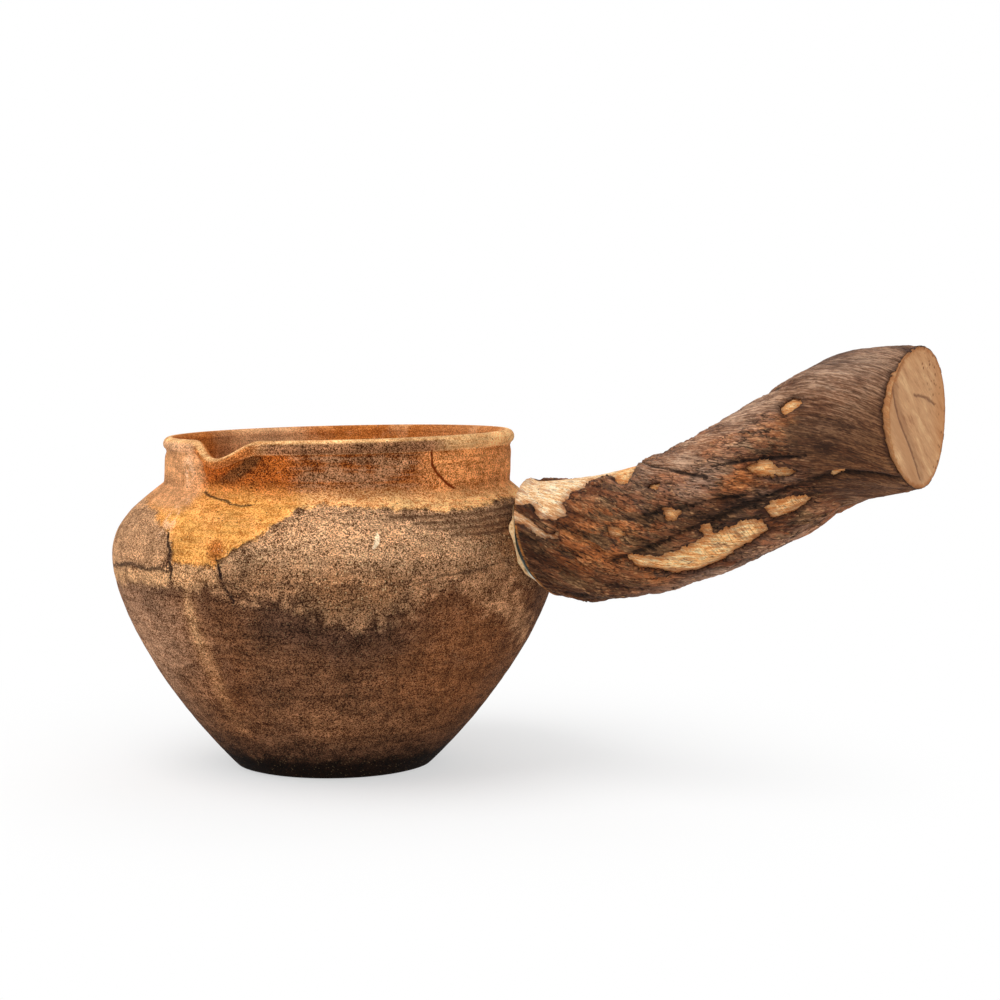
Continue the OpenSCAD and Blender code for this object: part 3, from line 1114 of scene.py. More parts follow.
class Wood(Enum):
    """Single colours on the bare wood."""

    STAIN = (186, 112, 58)
    SPECK = (166, 98, 54)
    NICK = (112, 62, 34)
    SPLIT = (58, 34, 22)
    FILM = (146, 90, 54)
    FRINGE = (176, 104, 54)
    # Painted shade along the bare wood's edge, under the bark's step
    EDGE = (120, 72, 42)
    TIP = (160, 108, 68)
    SAWN_SIDE = (190, 124, 70)
    SAWN_TOP = (198, 140, 90)
    CRESCENT = (182, 132, 91)
    STRIP = (150, 104, 72)
    SAWN_RIM = (168, 106, 60)
    PORE = (112, 66, 36)
    SHAKE = (112, 72, 50)


class BareWood:
    """The finish of the wood: peeled along its sides, sawn at its end."""

    FIBRE = Grain((420, 1900, 1900), 3.0, 0.65)
    SPECK = Grain((1200, 2600, 2600), 2.0, 0.6)
    CROSS = Grain((1300, 160, 160), 2.0, 0.6)
    STAIN = Grain((150, 330, 330), 5.0, 0.7)
    FILM = Grain((330, 640, 640), 4.0, 0.72)
    SPLIT = Grain((110, 330, 330), 2.0, 0.6)
    SOFT = Grain((90, 420, 420), 4.0, 0.65)
    SAW = Grain((420, 2400, 2400), 2.0, 0.6)
    AGED = Ramp((212, 134, 72), (255, 194, 124), (255, 234, 178))
    FRESH = Ramp((212, 154, 102), (255, 216, 164), (255, 246, 212))
    SAWN = Ramp((160, 108, 72), (200, 150, 106), (224, 180, 132))
    ROUGHNESS = 0.85
    SPECULAR = 0.2
    BUMP = 0.25 * MM

    def __init__(self) -> None:
        """Sets up the noises that the sides and the end share."""
        self.wood = Recipe(bpy.data.materials.new("bare_wood"))
        self.grain, self.streak = self.wood.vector("grain"), self.wood.vector("streak")
        self.fibre = self.grain.cloud(self.FIBRE)
        self.speck = self.grain.cloud(self.SPECK)
        self.stain = self.grain.cloud(self.STAIN)
        self.film = self.grain.cloud(self.FILM)
        self.saw = self.streak.cloud(self.SAW)

    def side(self) -> Value:
        """Colours the peeled sides.

        Returns:
            The colour.
        """
        wood, stain, film = self.wood, self.stain, self.film
        edge = wood.field("edge")
        weave = wood.mix(0.35, wood.mix(0.4, self.fibre, self.speck), stain).band(0.3, 0.7)
        ground = wood.blend(wood.field("pale"), weave.ramp(self.AGED), weave.ramp(self.FRESH))
        cross = self.grain.cloud(self.CROSS).thread(0.08)
        split = self.grain.cloud(self.SPLIT).thread(0.012)
        return wood.coats(ground, (
            (stain.band(0.53, 0.62), 0.7, Wood.STAIN),
            (self.speck.band(0.57, 0.63), 0.6, Wood.SPECK),
            (cross * wood.field("nicks") * stain.band(0.36, 0.44), 0.6, Wood.NICK),
            (split * stain.band(0.5, 0.56), 0.8, Wood.SPLIT),
            (film.band(0.5, 0.54) * edge.band(3.2, 0.3), 0.75, Wood.FILM),
            ((edge + film.swing(9.0)).band(1.7, 0.7), 0.6, Wood.FRINGE),
            # Painted shade along the bare wood's edge, under the bark's step
            (edge.band(0.6, 0.0), 0.4, Wood.EDGE),
            (wood.field("tip"), 0.75, Wood.TIP),
        ))

    def face(self) -> Value:
        """Colours the sawn end.

        Returns:
            The colour.
        """
        wood = self.wood
        end = wood.vector("end")
        across, rise, rim = end.part("X"), end.part("Y"), end.part("Z")
        ground = self.streak.cloud(self.SOFT).ramp(self.SAWN).dim(wood.mix(self.saw, 0.8, 1.2))
        corner = (rise + across).band(9.0, 13.0)
        right = rim.band(0.74, 0.86) * across.band(4.0, 9.0)
        return wood.coats(ground, (
            (across.band(4.0, 15.0), 0.55, Wood.SAWN_SIDE),
            (rise.band(8.0, 15.0), 0.4, Wood.SAWN_TOP),
            (wood.field("crescent"), 0.65, Wood.CRESCENT),
            (wood.field("strip"), 0.6, Wood.STRIP),
            ((rim + self.film.swing(0.16)).band(0.93, 0.99), 0.75, Wood.SAWN_RIM),
            (self.streak.pits(760, 0.34, 0.3) * (corner | right), 0.85, Wood.PORE),
        ))

    def material(self) -> bpy.types.Material:
        """Puts the finish together.

        Returns:
            The wood's material.
        """
        wood = self.wood
        sawn = wood.field("sawn")
        offset = abs(wood.field("shake_side") + self.stain.swing(1.2))
        shake = sawn * wood.field("shake").band(1.4, 0.5) * offset.band(0.6, 0.05)
        colour = wood.blend(sawn, self.side(), self.face())
        colour = wood.coats(colour, ((shake, 0.75, Wood.SHAKE),))
        peeled = self.fibre + self.speck + self.film * 0.8
        normal = wood.mix(sawn, peeled, self.saw * 0.5).bump(self.BUMP)
        return wood.done(colour, self.ROUGHNESS, normal, Specular_IOR_Level=self.SPECULAR)


class Bark(Enum):
    """Tones of the bark, and single colours on it."""

    FURROW = Ramp((58, 28, 15), (122, 68, 38), (190, 120, 74))
    PLATE = Ramp((72, 42, 27), (136, 86, 55), (210, 156, 108))
    OLIVE = Ramp((56, 38, 22), (112, 80, 50), (182, 142, 98))
    RUSTY = Ramp((78, 34, 13), (150, 80, 38), (212, 134, 74))
    FLAKE = Ramp((36, 20, 15), (78, 50, 38), (132, 94, 74))
    GREY = Ramp((80, 58, 46), (150, 114, 92), (222, 186, 158))
    RED = Ramp((96, 44, 18), (178, 102, 52), (242, 166, 98))
    DARK = Ramp((14, 6, 3), (66, 36, 19), (192, 134, 88))
    WORN = Ramp((46, 25, 12), (88, 53, 30), (138, 92, 58))
    WORN_GREY = Ramp((72, 49, 36), (134, 99, 76), (194, 158, 130))
    HAIR = (58, 38, 26)
    THREAD = (56, 34, 22)
    HOLE = (34, 19, 11)
    DUST = (204, 150, 102)
    SEAM = (44, 26, 17)
    FISSURE = (34, 20, 13)
    # Dark torn edge of the bark, partly painted shade along it
    TORN_AND_SHADE = (60, 36, 26)
    CUT = (206, 132, 66)
    # Painted shade along the bark's creases
    CREASE_SHADE = (36, 21, 14)


class OldBark:
    """The finish of the bark: crusty near the pot, worn smooth towards the sawn end."""

    FINE = Grain((800, 2100, 2100), 3.0, 0.7)
    CRUST = Grain((330, 600, 600), 5.0, 0.74)
    FIBRE = Grain((300, 3000, 3000), 3.0, 0.68)
    PATCH = Grain((75, 190, 190), 5.0, 0.65)
    HUE = Grain((110, 240, 240), 5.0, 0.65)
    FLAKE = Grain((170, 330, 330), 5.0, 0.65)
    FISSURE = Grain((90, 420, 420), 3.0, 0.62)
    THREAD = Grain((330, 1300, 1300), 2.0, 0.55)
    HAIR = Grain((110, 1250, 1250), 3.0, 0.6)
    SCALES = (170, 620, 620)
    HOLES = (560, 1250, 1250)
    DUST = (900, 1700, 1700)
    ROUGHNESS = 0.75
    SPECULAR = 0.18
    BUMP = 0.55 * MM

    def __init__(self) -> None:
        """Sets up the noises that the coats share."""
        self.bark = Recipe(bpy.data.materials.new("old_bark"))
        self.grain = self.bark.vector("grain")
        self.fine = self.grain.cloud(self.FINE)
        self.crust = self.grain.cloud(self.CRUST)
        self.fibre = self.grain.cloud(self.FIBRE)
        self.patch = self.grain.cloud(self.PATCH)
        self.hue = self.grain.cloud(self.HUE)
        self.fissure = self.grain.cloud(self.FISSURE).thread(0.016)
        self.scales = self.grain.stretch(self.SCALES).warp(1.3, 2.6)
        self.seam = self.scales.seams(0.1) * self.crust.band(0.46, 0.56)

    def crusty(self) -> Value:
        """Colours the crusty bark.

        Returns:
            The colour.
        """
        bark, hue, patch = self.bark, self.hue, self.patch
        flake = self.grain.cloud(self.FLAKE)
        mixed = bark.mix(0.1, bark.mix(0.45, self.fine, self.crust), self.scales.grains(1.0))
        raised = (bark.field("plate") + patch.swing(0.8)).band(-0.03, 0.05)
        grey = bark.mix(0.6, mixed, self.fibre).ramp(Bark.GREY.value)
        return bark.coats(bark.blend(raised, mixed.ramp(Bark.FURROW.value), mixed.ramp(Bark.PLATE.value)), (
            (hue.band(0.53, 0.57), 0.75, mixed.ramp(Bark.OLIVE.value)),
            (hue.band(0.44, 0.4), 0.75, mixed.ramp(Bark.RUSTY.value)),
            (flake.band(0.57, 0.6), 0.8, mixed.ramp(Bark.FLAKE.value)),
            (bark.field("grey") * patch.band(0.34, 0.46), 1.0, grey),
            (bark.field("red") * hue.band(0.58, 0.5), 1.0, mixed.ramp(Bark.RED.value)),
            (bark.field("dark") * flake.band(0.36, 0.46), 0.85, mixed.ramp(Bark.DARK.value)),
        ))

    def worn(self) -> Value:
        """Colours the bark that is worn smooth.

        Returns:
            The colour.
        """
        bark = self.bark
        drift = bark.mix(0.4, self.patch.band(0.26, 0.74), self.hue.band(0.3, 0.7))
        weave = bark.mix(0.5, drift, bark.mix(0.3, self.fibre, self.fine).band(0.3, 0.7))
        return bark.blend(bark.field("grey"), weave.ramp(Bark.WORN.value), weave.ramp(Bark.WORN_GREY.value))

    def smooth(self) -> Value:
        """Finds where the bark is worn.

        Returns:
            The share of worn bark.
        """
        tip = (self.bark.field("along") + self.patch * 10.0).band(71.0, 80.0)
        calm = (self.bark.field("smooth") + self.patch.swing(0.9)).band(0.42, 0.6)
        return (tip | calm) * 0.85

    def material(self) -> bpy.types.Material:
        """Puts the finish together.

        Returns:
            The bark's material.
        """
        bark, grain, crust = self.bark, self.grain, self.crust
        smooth = self.smooth()
        rough = (smooth * 0.85).rest()
        base = bark.coats(bark.blend(smooth, self.crusty(), self.worn()), (
            (grain.cloud(self.HAIR).thread(0.028) * smooth, 0.6, Bark.HAIR),
            (grain.cloud(self.THREAD).thread(0.045) * rough, 0.4, Bark.THREAD),
            (grain.stretch(self.HOLES).pits(1.0, 0.46, 0.55) * rough, 0.6, Bark.HOLE),
            (grain.stretch(self.DUST).pits(1.0, 0.44, 0.72) * rough, 0.5, Bark.DUST),
            (self.seam * rough, 0.6, Bark.SEAM),
            (self.fissure * rough, 0.75, Bark.FISSURE),
        ))
        # Painted shade in the bark's low places, its furrows, creases and the sides of its torn edges, and
        # painted light on its high places
        depth = bark.mix(bark.field("relief").band(-0.9, 0.3), 0.22, 1.2)
        base = bark.coats(base.dim(depth).dim(bark.field("tone")), (
            # Darker torn edges of the bark, partly painted shade
            ((bark.field("edge") + crust.swing(2.5)).band(-0.8, -0.1), 0.55, Bark.TORN_AND_SHADE),
            (bark.field("along").band(0.75, 0.35) * crust.band(0.4, 0.52), 0.85, Bark.CUT),
            # Painted shade along the bark's creases
            ((bark.field("fold") + crust.swing(1.6)).band(0.55, 0.2), 0.85, Bark.CREASE_SHADE),
        ))
        lines = (self.fissure + self.seam) * rough * -0.5
        normal = (self.fine + crust * 1.6 + lines).bump(self.BUMP)
        return bark.done(base, self.ROUGHNESS, normal, Specular_IOR_Level=self.SPECULAR)


@dataclass
class BranchHandle:
    """The branch: its wood, and the bark that is left on it."""

    joint_x: float = 54.36 * MM
    joint_y: float = 5.0 * MM
    joint_z: float = 56.3 * MM
    length: float = 88.0 * MM
    rise: float = 29.0 * MM
    bend_near: float = 45.8 * MM
    bend_far: float = 25.9 * MM
    near_r: float = 14.4 * MM
    middle_r: float = 15.3 * MM
    sawn_r: float = 15.3 * MM
    ridge_h: float = 0.5 * MM
    ridge_count: int = 3
    ridge_turn: float = 150.0
    near_round: float = 0.2 * MM
    sawn_round: float = 0.25 * MM
    saw_skew: float = 5.5
    joint_tilt: float = 17.0
    near_reach: float = 0.35 * MM
    near_run: float = 3.0 * MM
    bark_t: float = 1.3 * MM
    bark_start: float = 0.1 * MM
    end_keep: float = 0.1 * MM
    least_bark: float = 0.15 * MM
    end_skin: float = 0.2
    near_thin: float = 2.5 * MM
    sawn_thin: float = 3.0 * MM
    seat_gap: float = 0.05 * MM
    bore_r: float = 7.6 * MM
    bore_depth: float = 20.6 * MM
    twist: float = 2.2

    bark_cell: float = 0.45 * MM
    bark_sides: int = 216
    wood_cell: float = 0.8 * MM
    wood_sides: int = 180
    crumb: int = 14
    curve_step: float = 0.01
    mm_per_degree: float = 0.262
    run_samples: int = 800
    slope_samples: int = 400
    face_rings: int = 36
    bore_rings: int = 8
    bore_margin: float = 1.01
    face_depth: float = 0.02 * MM

    # Scales of the noises in lumps for each millimetre, along the branch and across it
    plate_scale: Place = (0.1, 0.24, 0.24)
    flute_scale: Place = (0.03, 0.3, 0.3)
    crust_scale: Place = (0.5, 0.95, 0.95)
    split_scale: Place = (0.09, 0.5, 0.5)
    split_shift: float = 40.0
    ragged_scale: Place = (0.45, 0.8, 0.8)
    frayed_scale: Place = (1.1, 2.2, 2.2)
    fibre_scale: Place = (0.06, 0.8, 0.8)
    hair_scale: Place = (0.25, 2.0, 2.0)
    ledge_scale: float = 0.6

    # Bark that is off at the two ends, and how ragged its edges are, in millimetres
    sawn_bare: float = 0.3
    sawn_chips: float = 1.6
    chips_at: float = 190.0
    chips_wide: float = 50.0
    near_bare: float = 0.15
    ragged_reach: float = 2.5
    ragged_h: float = 0.6
    frayed_h: float = 0.3
    near_ragged: float = 1.2

    # How torn edges are drawn onto their outlines and thinned, in millimetres and shares
    near_calm: float = 0.3
    probe: float = 0.1
    least_steep: float = 0.3
    snap_reach: float = 0.32
    snap_most: float = 0.3
    torn_reach: float = 8.0
    torn_thin: float = 0.6
    torn_vary: float = 0.5
    fold_reach: float = 4.0

    # Heights, widths and places of the bark's relief in millimetres, with a share and a factor
    plate_h: float = 0.3
    crust_h: float = 0.24
    split_h: float = 0.45
    split_width: float = 0.07
    flute_h: float = 0.22
    worn_share: float = 0.75
    worn_from: float = 66.0
    worn_to: float = 94.0
    worn_in: float = 10.0
    worn_out: float = 4.0
    plate_edge: float = 6.0
    crease_h: float = 0.7
    crease_width: float = 0.4
    crease_bank: float = 0.4
    crease_run: float = 2.5
    valley_h: float = 0.95
    valley_width: float = 1.0
    valley_bank: float = 0.6
    valley_run: float = 3.0
    rib_h: float = 0.5
    rib_width: float = 1.3
    under_h: float = -0.6

    # Relief of the bare wood, and where its colours change, in millimetres
    fibre_h: float = 0.12
    hair_h: float = 0.07
    bare_h: float = 0.25
    bare_run: float = 1.5
    bare_edge: float = 0.8
    edge_reach: float = 5.0
    pale_to: float = 25.0
    pale_edge: float = 5.0
    tip_run: float = 3.0

    # Marks on the sawn end: depths and widths in millimetres, the ledge's start as a share of the radius,
    # and the two parts of the streaks' direction
    shake_h: float = 0.3
    shake_width: float = 0.5
    crescent_h: float = 0.35
    ledge_h: float = 0.3
    ledge_rough: float = 0.5
    ledge_from: float = 0.9
    crescent_run: float = 3.0
    crescent_wide: float = 5.0
    crescent_edge: float = 2.0
    strip_wide: float = 2.6
    strip_edge: float = 1.6
    streak_run: float = 0.81
    streak_climb: float = 0.59

    PEELED: tuple[Marks, ...] = (
        ((-1, 84), (-1, 142), (4, 142), (6, 158), (9, 160), (13, 157), (12.5, 145), (14, 132), (17, 131),
         (18, 121), (22, 118), (24, 125), (26, 136), (29, 141), (30, 125), (31, 112), (30, 92), (24, 74),
         (14, 70), (8, 78), (3, 84)),
        ((-1, 147), (3, 154), (6, 166), (9, 178), (6, 180), (2, 165), (-1, 160)),
        ((5, 171), (10, 172), (10, 178), (6, 179)),
        ((22, 173), (25, 174), (26.5, 184), (24, 186), (22, 181)),
        ((36.5, 172), (39, 172), (40.5, 183), (38.5, 188), (36.5, 184)),
        ((34, 146), (38, 149), (37, 154), (34.5, 152)),
        ((24.5, 204), (28, 206), (31, 212), (36, 213), (42, 210), (47, 212), (52, 212), (55, 222), (55, 236),
         (51, 238), (49.5, 240), (48, 238), (42, 246), (36, 246), (32, 238), (29, 226), (26, 220)),
        ((42, 200), (45, 202), (45, 212), (42.5, 212)),
        ((56.5, 212), (60, 210), (64, 216), (67, 228), (66, 233), (62, 233), (57, 229)),
        ((58.5, 173), (62, 174), (64.5, 178), (65, 185), (67, 190), (68, 197), (66, 199), (63, 193),
         (60, 186)),
        ((70, 140), (73, 138), (76, 146), (75, 153), (71, 152)),
        ((75, 213), (79, 216), (78, 219), (75, 218)),
        ((12, 318), (20, 312), (30, 322), (33, 340), (24, 348), (14, 336)),
        ((48, 20), (58, 26), (66, 44), (60, 52), (50, 40)),
        ((72, 338), (79, 344), (80, 356), (74, 354)),
    )
    CREASES: tuple[Marks, ...] = (
        ((31, 112), (36, 130), (42, 146), (50, 166)),
        ((52, 160), (60, 170), (72, 190)),
        ((10, 280), (40, 320), (80, 372)),
        ((30, 12), (60, 60), (90, 100)),
    )
    VALLEYS: tuple[Marks, ...] = (
        ((22, 204), (30, 200), (40, 197), (48, 198), (56, 201), (68, 208), (80, 220), (93, 240)),
        ((33, 172), (40, 176), (50, 184), (58, 196)),
        ((60, 300), (76, 322), (92, 350)),
    )
    SMOOTH: Spots = ((44, 132, 13, 5), (60, 124, 13, 6))
    RIDGES: tuple[Marks, ...] = (
        ((12, 235), (25, 250), (40, 262)),
        ((52, 243), (70, 255), (90, 268)),
        ((72, 118), (84, 140), (92, 158)),
        ((5, 330), (30, 376)),
    )
    # Coloured spots: place, angle and the two half sizes
    GREY: Spots = (
        (42, 135, 14, 7), (62, 130, 14, 8), (48, 165, 8, 4), (84, 130, 12, 10), (60, 195, 8, 3),
        (40, 262, 30, 5), (50, 330, 25, 12), (25, 30, 16, 10),
    )
    RED: Spots = (
        (20, 185, 12, 8), (46, 135, 10, 4), (78, 160, 12, 4), (57, 182, 6, 3), (30, 222, 6, 4),
        (70, 300, 16, 8),
    )
    DARK: Spots = (
        (2, 215, 5, 14), (48, 194, 16, 2.5), (80, 185, 12, 7), (62, 212, 5, 3), (14, 240, 10, 6),
        (70, 222, 6, 3),
    )
    NICKS: Spots = ((48, 226, 10, 5), (62, 222, 5, 4), (44, 206, 3, 3))
    # Lighter and darker places of the bark: as spots, with the change
    TONES: Swells = (
        (74, 188, 14, 9, 0.85), (45, 135, 14, 8, 1.4), (62, 130, 12, 8, 1.25), (6, 205, 8, 10, 0.8),
        (20, 175, 10, 7, 1.1), (50, 265, 30, 6, 1.2),
    )
    # Lumps of the branch: as spots, with the height
    LUMPS: Swells = (
        (37, 100, 4, 10.48, -0.6), (58, 100, 7, 10.48, 0.2), (79, 100, 9, 13.1, 1.1),
        (70, 262, 9, 13.1, -1.2), (36, 275, 7, 10.48, -0.4), (0, 122, 4, 7.336, -1.2),
        (0, 185, 4, 6.55, 0.3), (0, 238, 4, 6.55, -0.9), (7.5, 262, 3.5, 6.55, 0.7),
    )
    # Cracks in the sawn end, across and up from its middle
    SHAKE: Marks = ((-13.6, 6.2), (-12.6, 2.8), (-10.1, -0.8), (-6.1, -5.6), (-1.1, -10.9), (0.6, -13.2))
    SPLIT: Marks = ((-2.6, 5.0), (2.5, 4.2), (8.9, 2.7))
    # Rows of the wood near its two ends, from each end in millimetres
    NEAR_ROWS: tuple[float, ...] = (0, 0.12, 0.3, 0.5, 0.9)
    SAWN_ROWS: tuple[float, ...] = (0.7, 0.45, 0.2, 0.08, 0.0)

    def spine(self) -> Array:
        """Lays out the centre line.

        Returns:
            Its four control points.
        """
        start = np.array([self.joint_x, self.joint_y, self.joint_z])
        return start + np.array([
            [0, 0, 0],
            [self.bend_near, 0, 0],
            [self.length - self.bend_far, 0, self.rise],
            [self.length, 0, self.rise],
        ])

    def peg_axes(self) -> tuple[Array, Array]:
        """Returns the direction of the peg, and the one at right angles above it."""
        tilt = math.radians(self.joint_tilt)
        return np.array([math.cos(tilt), 0, math.sin(tilt)]), np.array([-math.sin(tilt), 0, math.cos(tilt)])

    def run(self) -> tuple[Array, Array]:
        """Measures along the centre line.

        Returns:
            Matching tables of the distance and of the curve's own parameter.
        """
        t = np.linspace(0, 1, self.run_samples)
        steps = np.linalg.norm(np.diff(cubic(self.spine(), t), axis=0), axis=1)
        return np.r_[0, np.cumsum(steps)], t

    def whole(self) -> float:
        """Returns the length of the branch along its centre line."""
        return float(self.run()[0][-1])

    def radius(self, t: Array) -> Array:
        """Finds the bark's outer radius, with the two ends drawn in.

        Args:
            t: The curve's parameter.

        Returns:
            The radius at each.
        """
        bow = 2 * self.middle_r - (self.near_r + self.sawn_r) / 2
        r = self.near_r * (1 - t) ** 2 + 2 * bow * t * (1 - t) + self.sawn_r * t * t
        ends = ((3 * self.bend_near * t, self.near_round), (3 * self.bend_far * (1 - t), self.sawn_round))
        for gap, edge in ends:
            left = np.clip(edge - gap, 0, edge)
            r = r - (edge - np.sqrt(edge * edge - left * left))
        return r

    def skin(self, s: Array) -> Array:
        """Returns the bark's thickness at each distance, thinner at the two ends."""
        ends = ease(s / self.near_thin) * ease((self.whole() - s) / self.sawn_thin)
        return self.bark_t * (self.end_skin + (1 - self.end_skin) * ends)

    def slopes(self) -> tuple[Array, Array]:
        """Measures how steeply the centre line climbs.

        Returns:
            Matching tables of the curve's parameter and of its slope.
        """
        grid = np.linspace(0, 1, self.slope_samples)
        ahead = cubic(self.spine(), np.minimum(1, grid + self.curve_step))
        behind = cubic(self.spine(), np.maximum(0, grid - self.curve_step))
        return grid, np.arctan2(ahead[:, 2] - behind[:, 2], ahead[:, 0] - behind[:, 0])

    def bent(self, s: Array, theta: Array, proud: Array, share: Array) -> Array:
        """Bends the straight branch along its centre line.

        Args:
            s: Distance along the branch, in metres.
            theta: Angle round it, in degrees.
            proud: Height above the bark's plain outside, in metres.
            share: Share of the radius, which is 1 on the side of the branch.

        Returns:
            The places in the part's frame, one row each.
        """
        t = np.interp(s, *self.run())
        grid, slopes = self.slopes()
        near = 1 - ease(3 * self.bend_near * t / (2 * self.near_r))
        pitch = np.interp(t, grid, slopes) + (math.radians(self.joint_tilt) - slopes[0]) * near
        yaw = -math.radians(self.saw_skew) * (1 - ease(3 * self.bend_far * (1 - t) / (2 * self.sawn_r)))
        side = np.c_[-np.sin(yaw), np.cos(yaw), np.zeros(len(t))]
        up = np.c_[-np.sin(pitch) * np.cos(yaw), -np.sin(pitch) * np.sin(yaw), np.cos(pitch)]
        turn = np.radians(theta)
        ridge = self.ridge_h * np.cos(self.ridge_count * turn - math.radians(self.ridge_turn) * t)
        reach = (self.radius(t) + ridge + self.swell(s, theta) + proud) * share
        early = self.near_reach * (1 - ease(s / self.near_run))
        middle = cubic(self.spine(), t) - early[:, None] * self.peg_axes()[0]
        return middle + reach[:, None] * (np.cos(turn)[:, None] * side + np.sin(turn)[:, None] * up)

    def swell(self, s: Array, theta: Array) -> Array:
        """Returns how far the branch's own lumps and hollows stand out, in metres."""
        return sum(lump * self.spot(s, theta, mark) for *mark, lump in self.LUMPS) * MM

    def grain_place(self, s: Array, theta: Array, reach: Array) -> Array:
        """Returns places in a straight, untwisted branch, along which its fibres run, in millimetres."""
        turn = np.radians(theta - self.twist * s / MM)
        return np.c_[s, reach * np.cos(turn), reach * np.sin(turn)] / MM

    def on_bark(self, s: Array, theta: Array) -> Array:
        """Returns the places of the bark's outside in the straight branch, in millimetres."""
        return self.grain_place(s, theta, np.full(len(s), self.middle_r))

    def unroll(self, marks: Marks) -> Array:
        """Returns marks with their angles turned into millimetres round the branch."""
        return np.array(marks, float) * [1, self.mm_per_degree]

    def peel(self, s: Array, theta: Array) -> Array:
        """Works out where the bark is off.

        Args:
            s: Distance along the branch, in metres.
            theta: Angle round it, in degrees.

        Returns:
            The distance inside the bare places, ragged at their edges, in millimetres.
        """
        turned = theta % 360
        u, v = s / MM, turned * self.mm_per_degree
        inside = np.max([area_field(u, v, self.unroll(patch)) for patch in self.PEELED], axis=0)
        chipped = np.exp(-(((turned - self.chips_at) / self.chips_wide) ** 4))
        sawn = u - self.whole() / MM + self.sawn_bare + self.sawn_chips * chipped
        inside = np.maximum(inside, np.maximum(sawn, self.near_bare - u))
        near = abs(inside) < self.ragged_reach
        place = self.on_bark(s[near], turned[near])
        ragged = self.ragged_h * ripple(place * self.ragged_scale, 3)
        ragged = ragged + self.frayed_h * ripple(place * self.frayed_scale, 2)
        inside[near] += ragged * np.where(u[near] < self.near_ragged, self.near_calm, 1.0)
        return inside

    def spot(self, s: Array, theta: Array, mark: Spot) -> Array:
        """Returns 1 in the middle of a soft spot, given as place, angle and the two half sizes."""
        at, turn, long, wide = mark
        return bell((s / MM - at) / long, off_angle(theta, turn) * self.mm_per_degree / wide)

    def spots(self, s: Array, theta: Array, marks: Spots) -> Array:
        """Returns how strongly the strongest of several soft spots covers each place."""
        return np.max([self.spot(s, theta, mark) for mark in marks], axis=0)

    def tone(self, s: Array, theta: Array) -> Array:
        """Returns how much lighter or darker the bark is at each place, 1 for no change."""
        return np.prod([1 + (gain - 1) * self.spot(s, theta, mark) for *mark, gain in self.TONES], axis=0)

    def gap_to(self, s: Array, theta: Array, line: Marks) -> tuple[Array, Array]:
        """Returns the distance from a line on the bark in millimetres, and the same with a sign."""
        return line_field(s / MM, (theta % 360) * self.mm_per_degree, self.unroll(line))

    def relief(self, s: Array, theta: Array) -> tuple[Array, Array]:
        """Works out the bark's plates, ridges and folds.

        Args:
            s: Distance along the branch, in metres.
            theta: Angle round it, in degrees.

        Returns:
            The height in millimetres, and a number that is positive on the raised plates.
        """
        place, u = self.on_bark(s, theta), s / MM
        plate = ripple(place * self.plate_scale, 4)
        flute = ripple(place * self.flute_scale, 2)
        crust = ripple(place * self.crust_scale, 3)
        split = ripple(place * self.split_scale + self.split_shift, 3)
        tip = ease((u - self.worn_from) / self.worn_in) * ease((self.worn_to - u) / self.worn_out)
        worn = 1 - self.worn_share * np.maximum(tip, self.spots(s, theta, self.SMOOTH))
        rough = self.plate_h * np.tanh(self.plate_edge * plate) + self.crust_h * crust
        rough = rough - self.split_h * bell(split / self.split_width)
        high = self.flute_h * flute + rough * worn
        for crease in self.CREASES:
            gap, side = self.gap_to(s, theta, crease)
            bank = self.crease_bank * np.exp(-gap / self.crease_run) * (side > 0)
            high += -self.crease_h * bell(gap / self.crease_width) + bank
        for valley in self.VALLEYS:
            gap, side = self.gap_to(s, theta, valley)
            bank = self.valley_bank * np.exp(-gap / self.valley_run) * (side < 0)
            high += -self.valley_h * bell(gap / self.valley_width) + bank
        for ridge in self.RIDGES:
            high += self.rib_h * bell(self.gap_to(s, theta, ridge)[0] / self.rib_width)
        return high, plate

    def wood_line(self) -> Array:
        """Draws the outline of the straight wood, from the bottom of its hole to the middle of its end.

        Returns:
            Points of the outline, one row each.
        """
        whole, deep = self.whole(), self.bore_depth
        steady = np.arange(1.4, whole / MM - 0.9, self.wood_cell / MM)
        sides = np.r_[self.NEAR_ROWS, steady] * MM
        sides = np.r_[sides, whole - np.array(self.SAWN_ROWS) * MM]
        face = np.linspace(1, 0, self.face_rings)[1:]
        bore = np.linspace(deep, 0, self.bore_rings)[1:]
        return np.vstack([
            [[deep, 0, 0], [deep, 0.5 * self.bore_r, 0], [deep, self.bore_r, 0]],
            np.c_[bore, np.full(len(bore), self.bore_r), np.zeros(len(bore))],
            [[0, 0.5 * (self.bore_r + self.near_r), 0]],
            np.c_[sides, np.full(len(sides), self.sawn_r), np.zeros(len(sides))],
            np.c_[np.full(len(face), whole), face * self.sawn_r, np.zeros(len(face))],
        ])

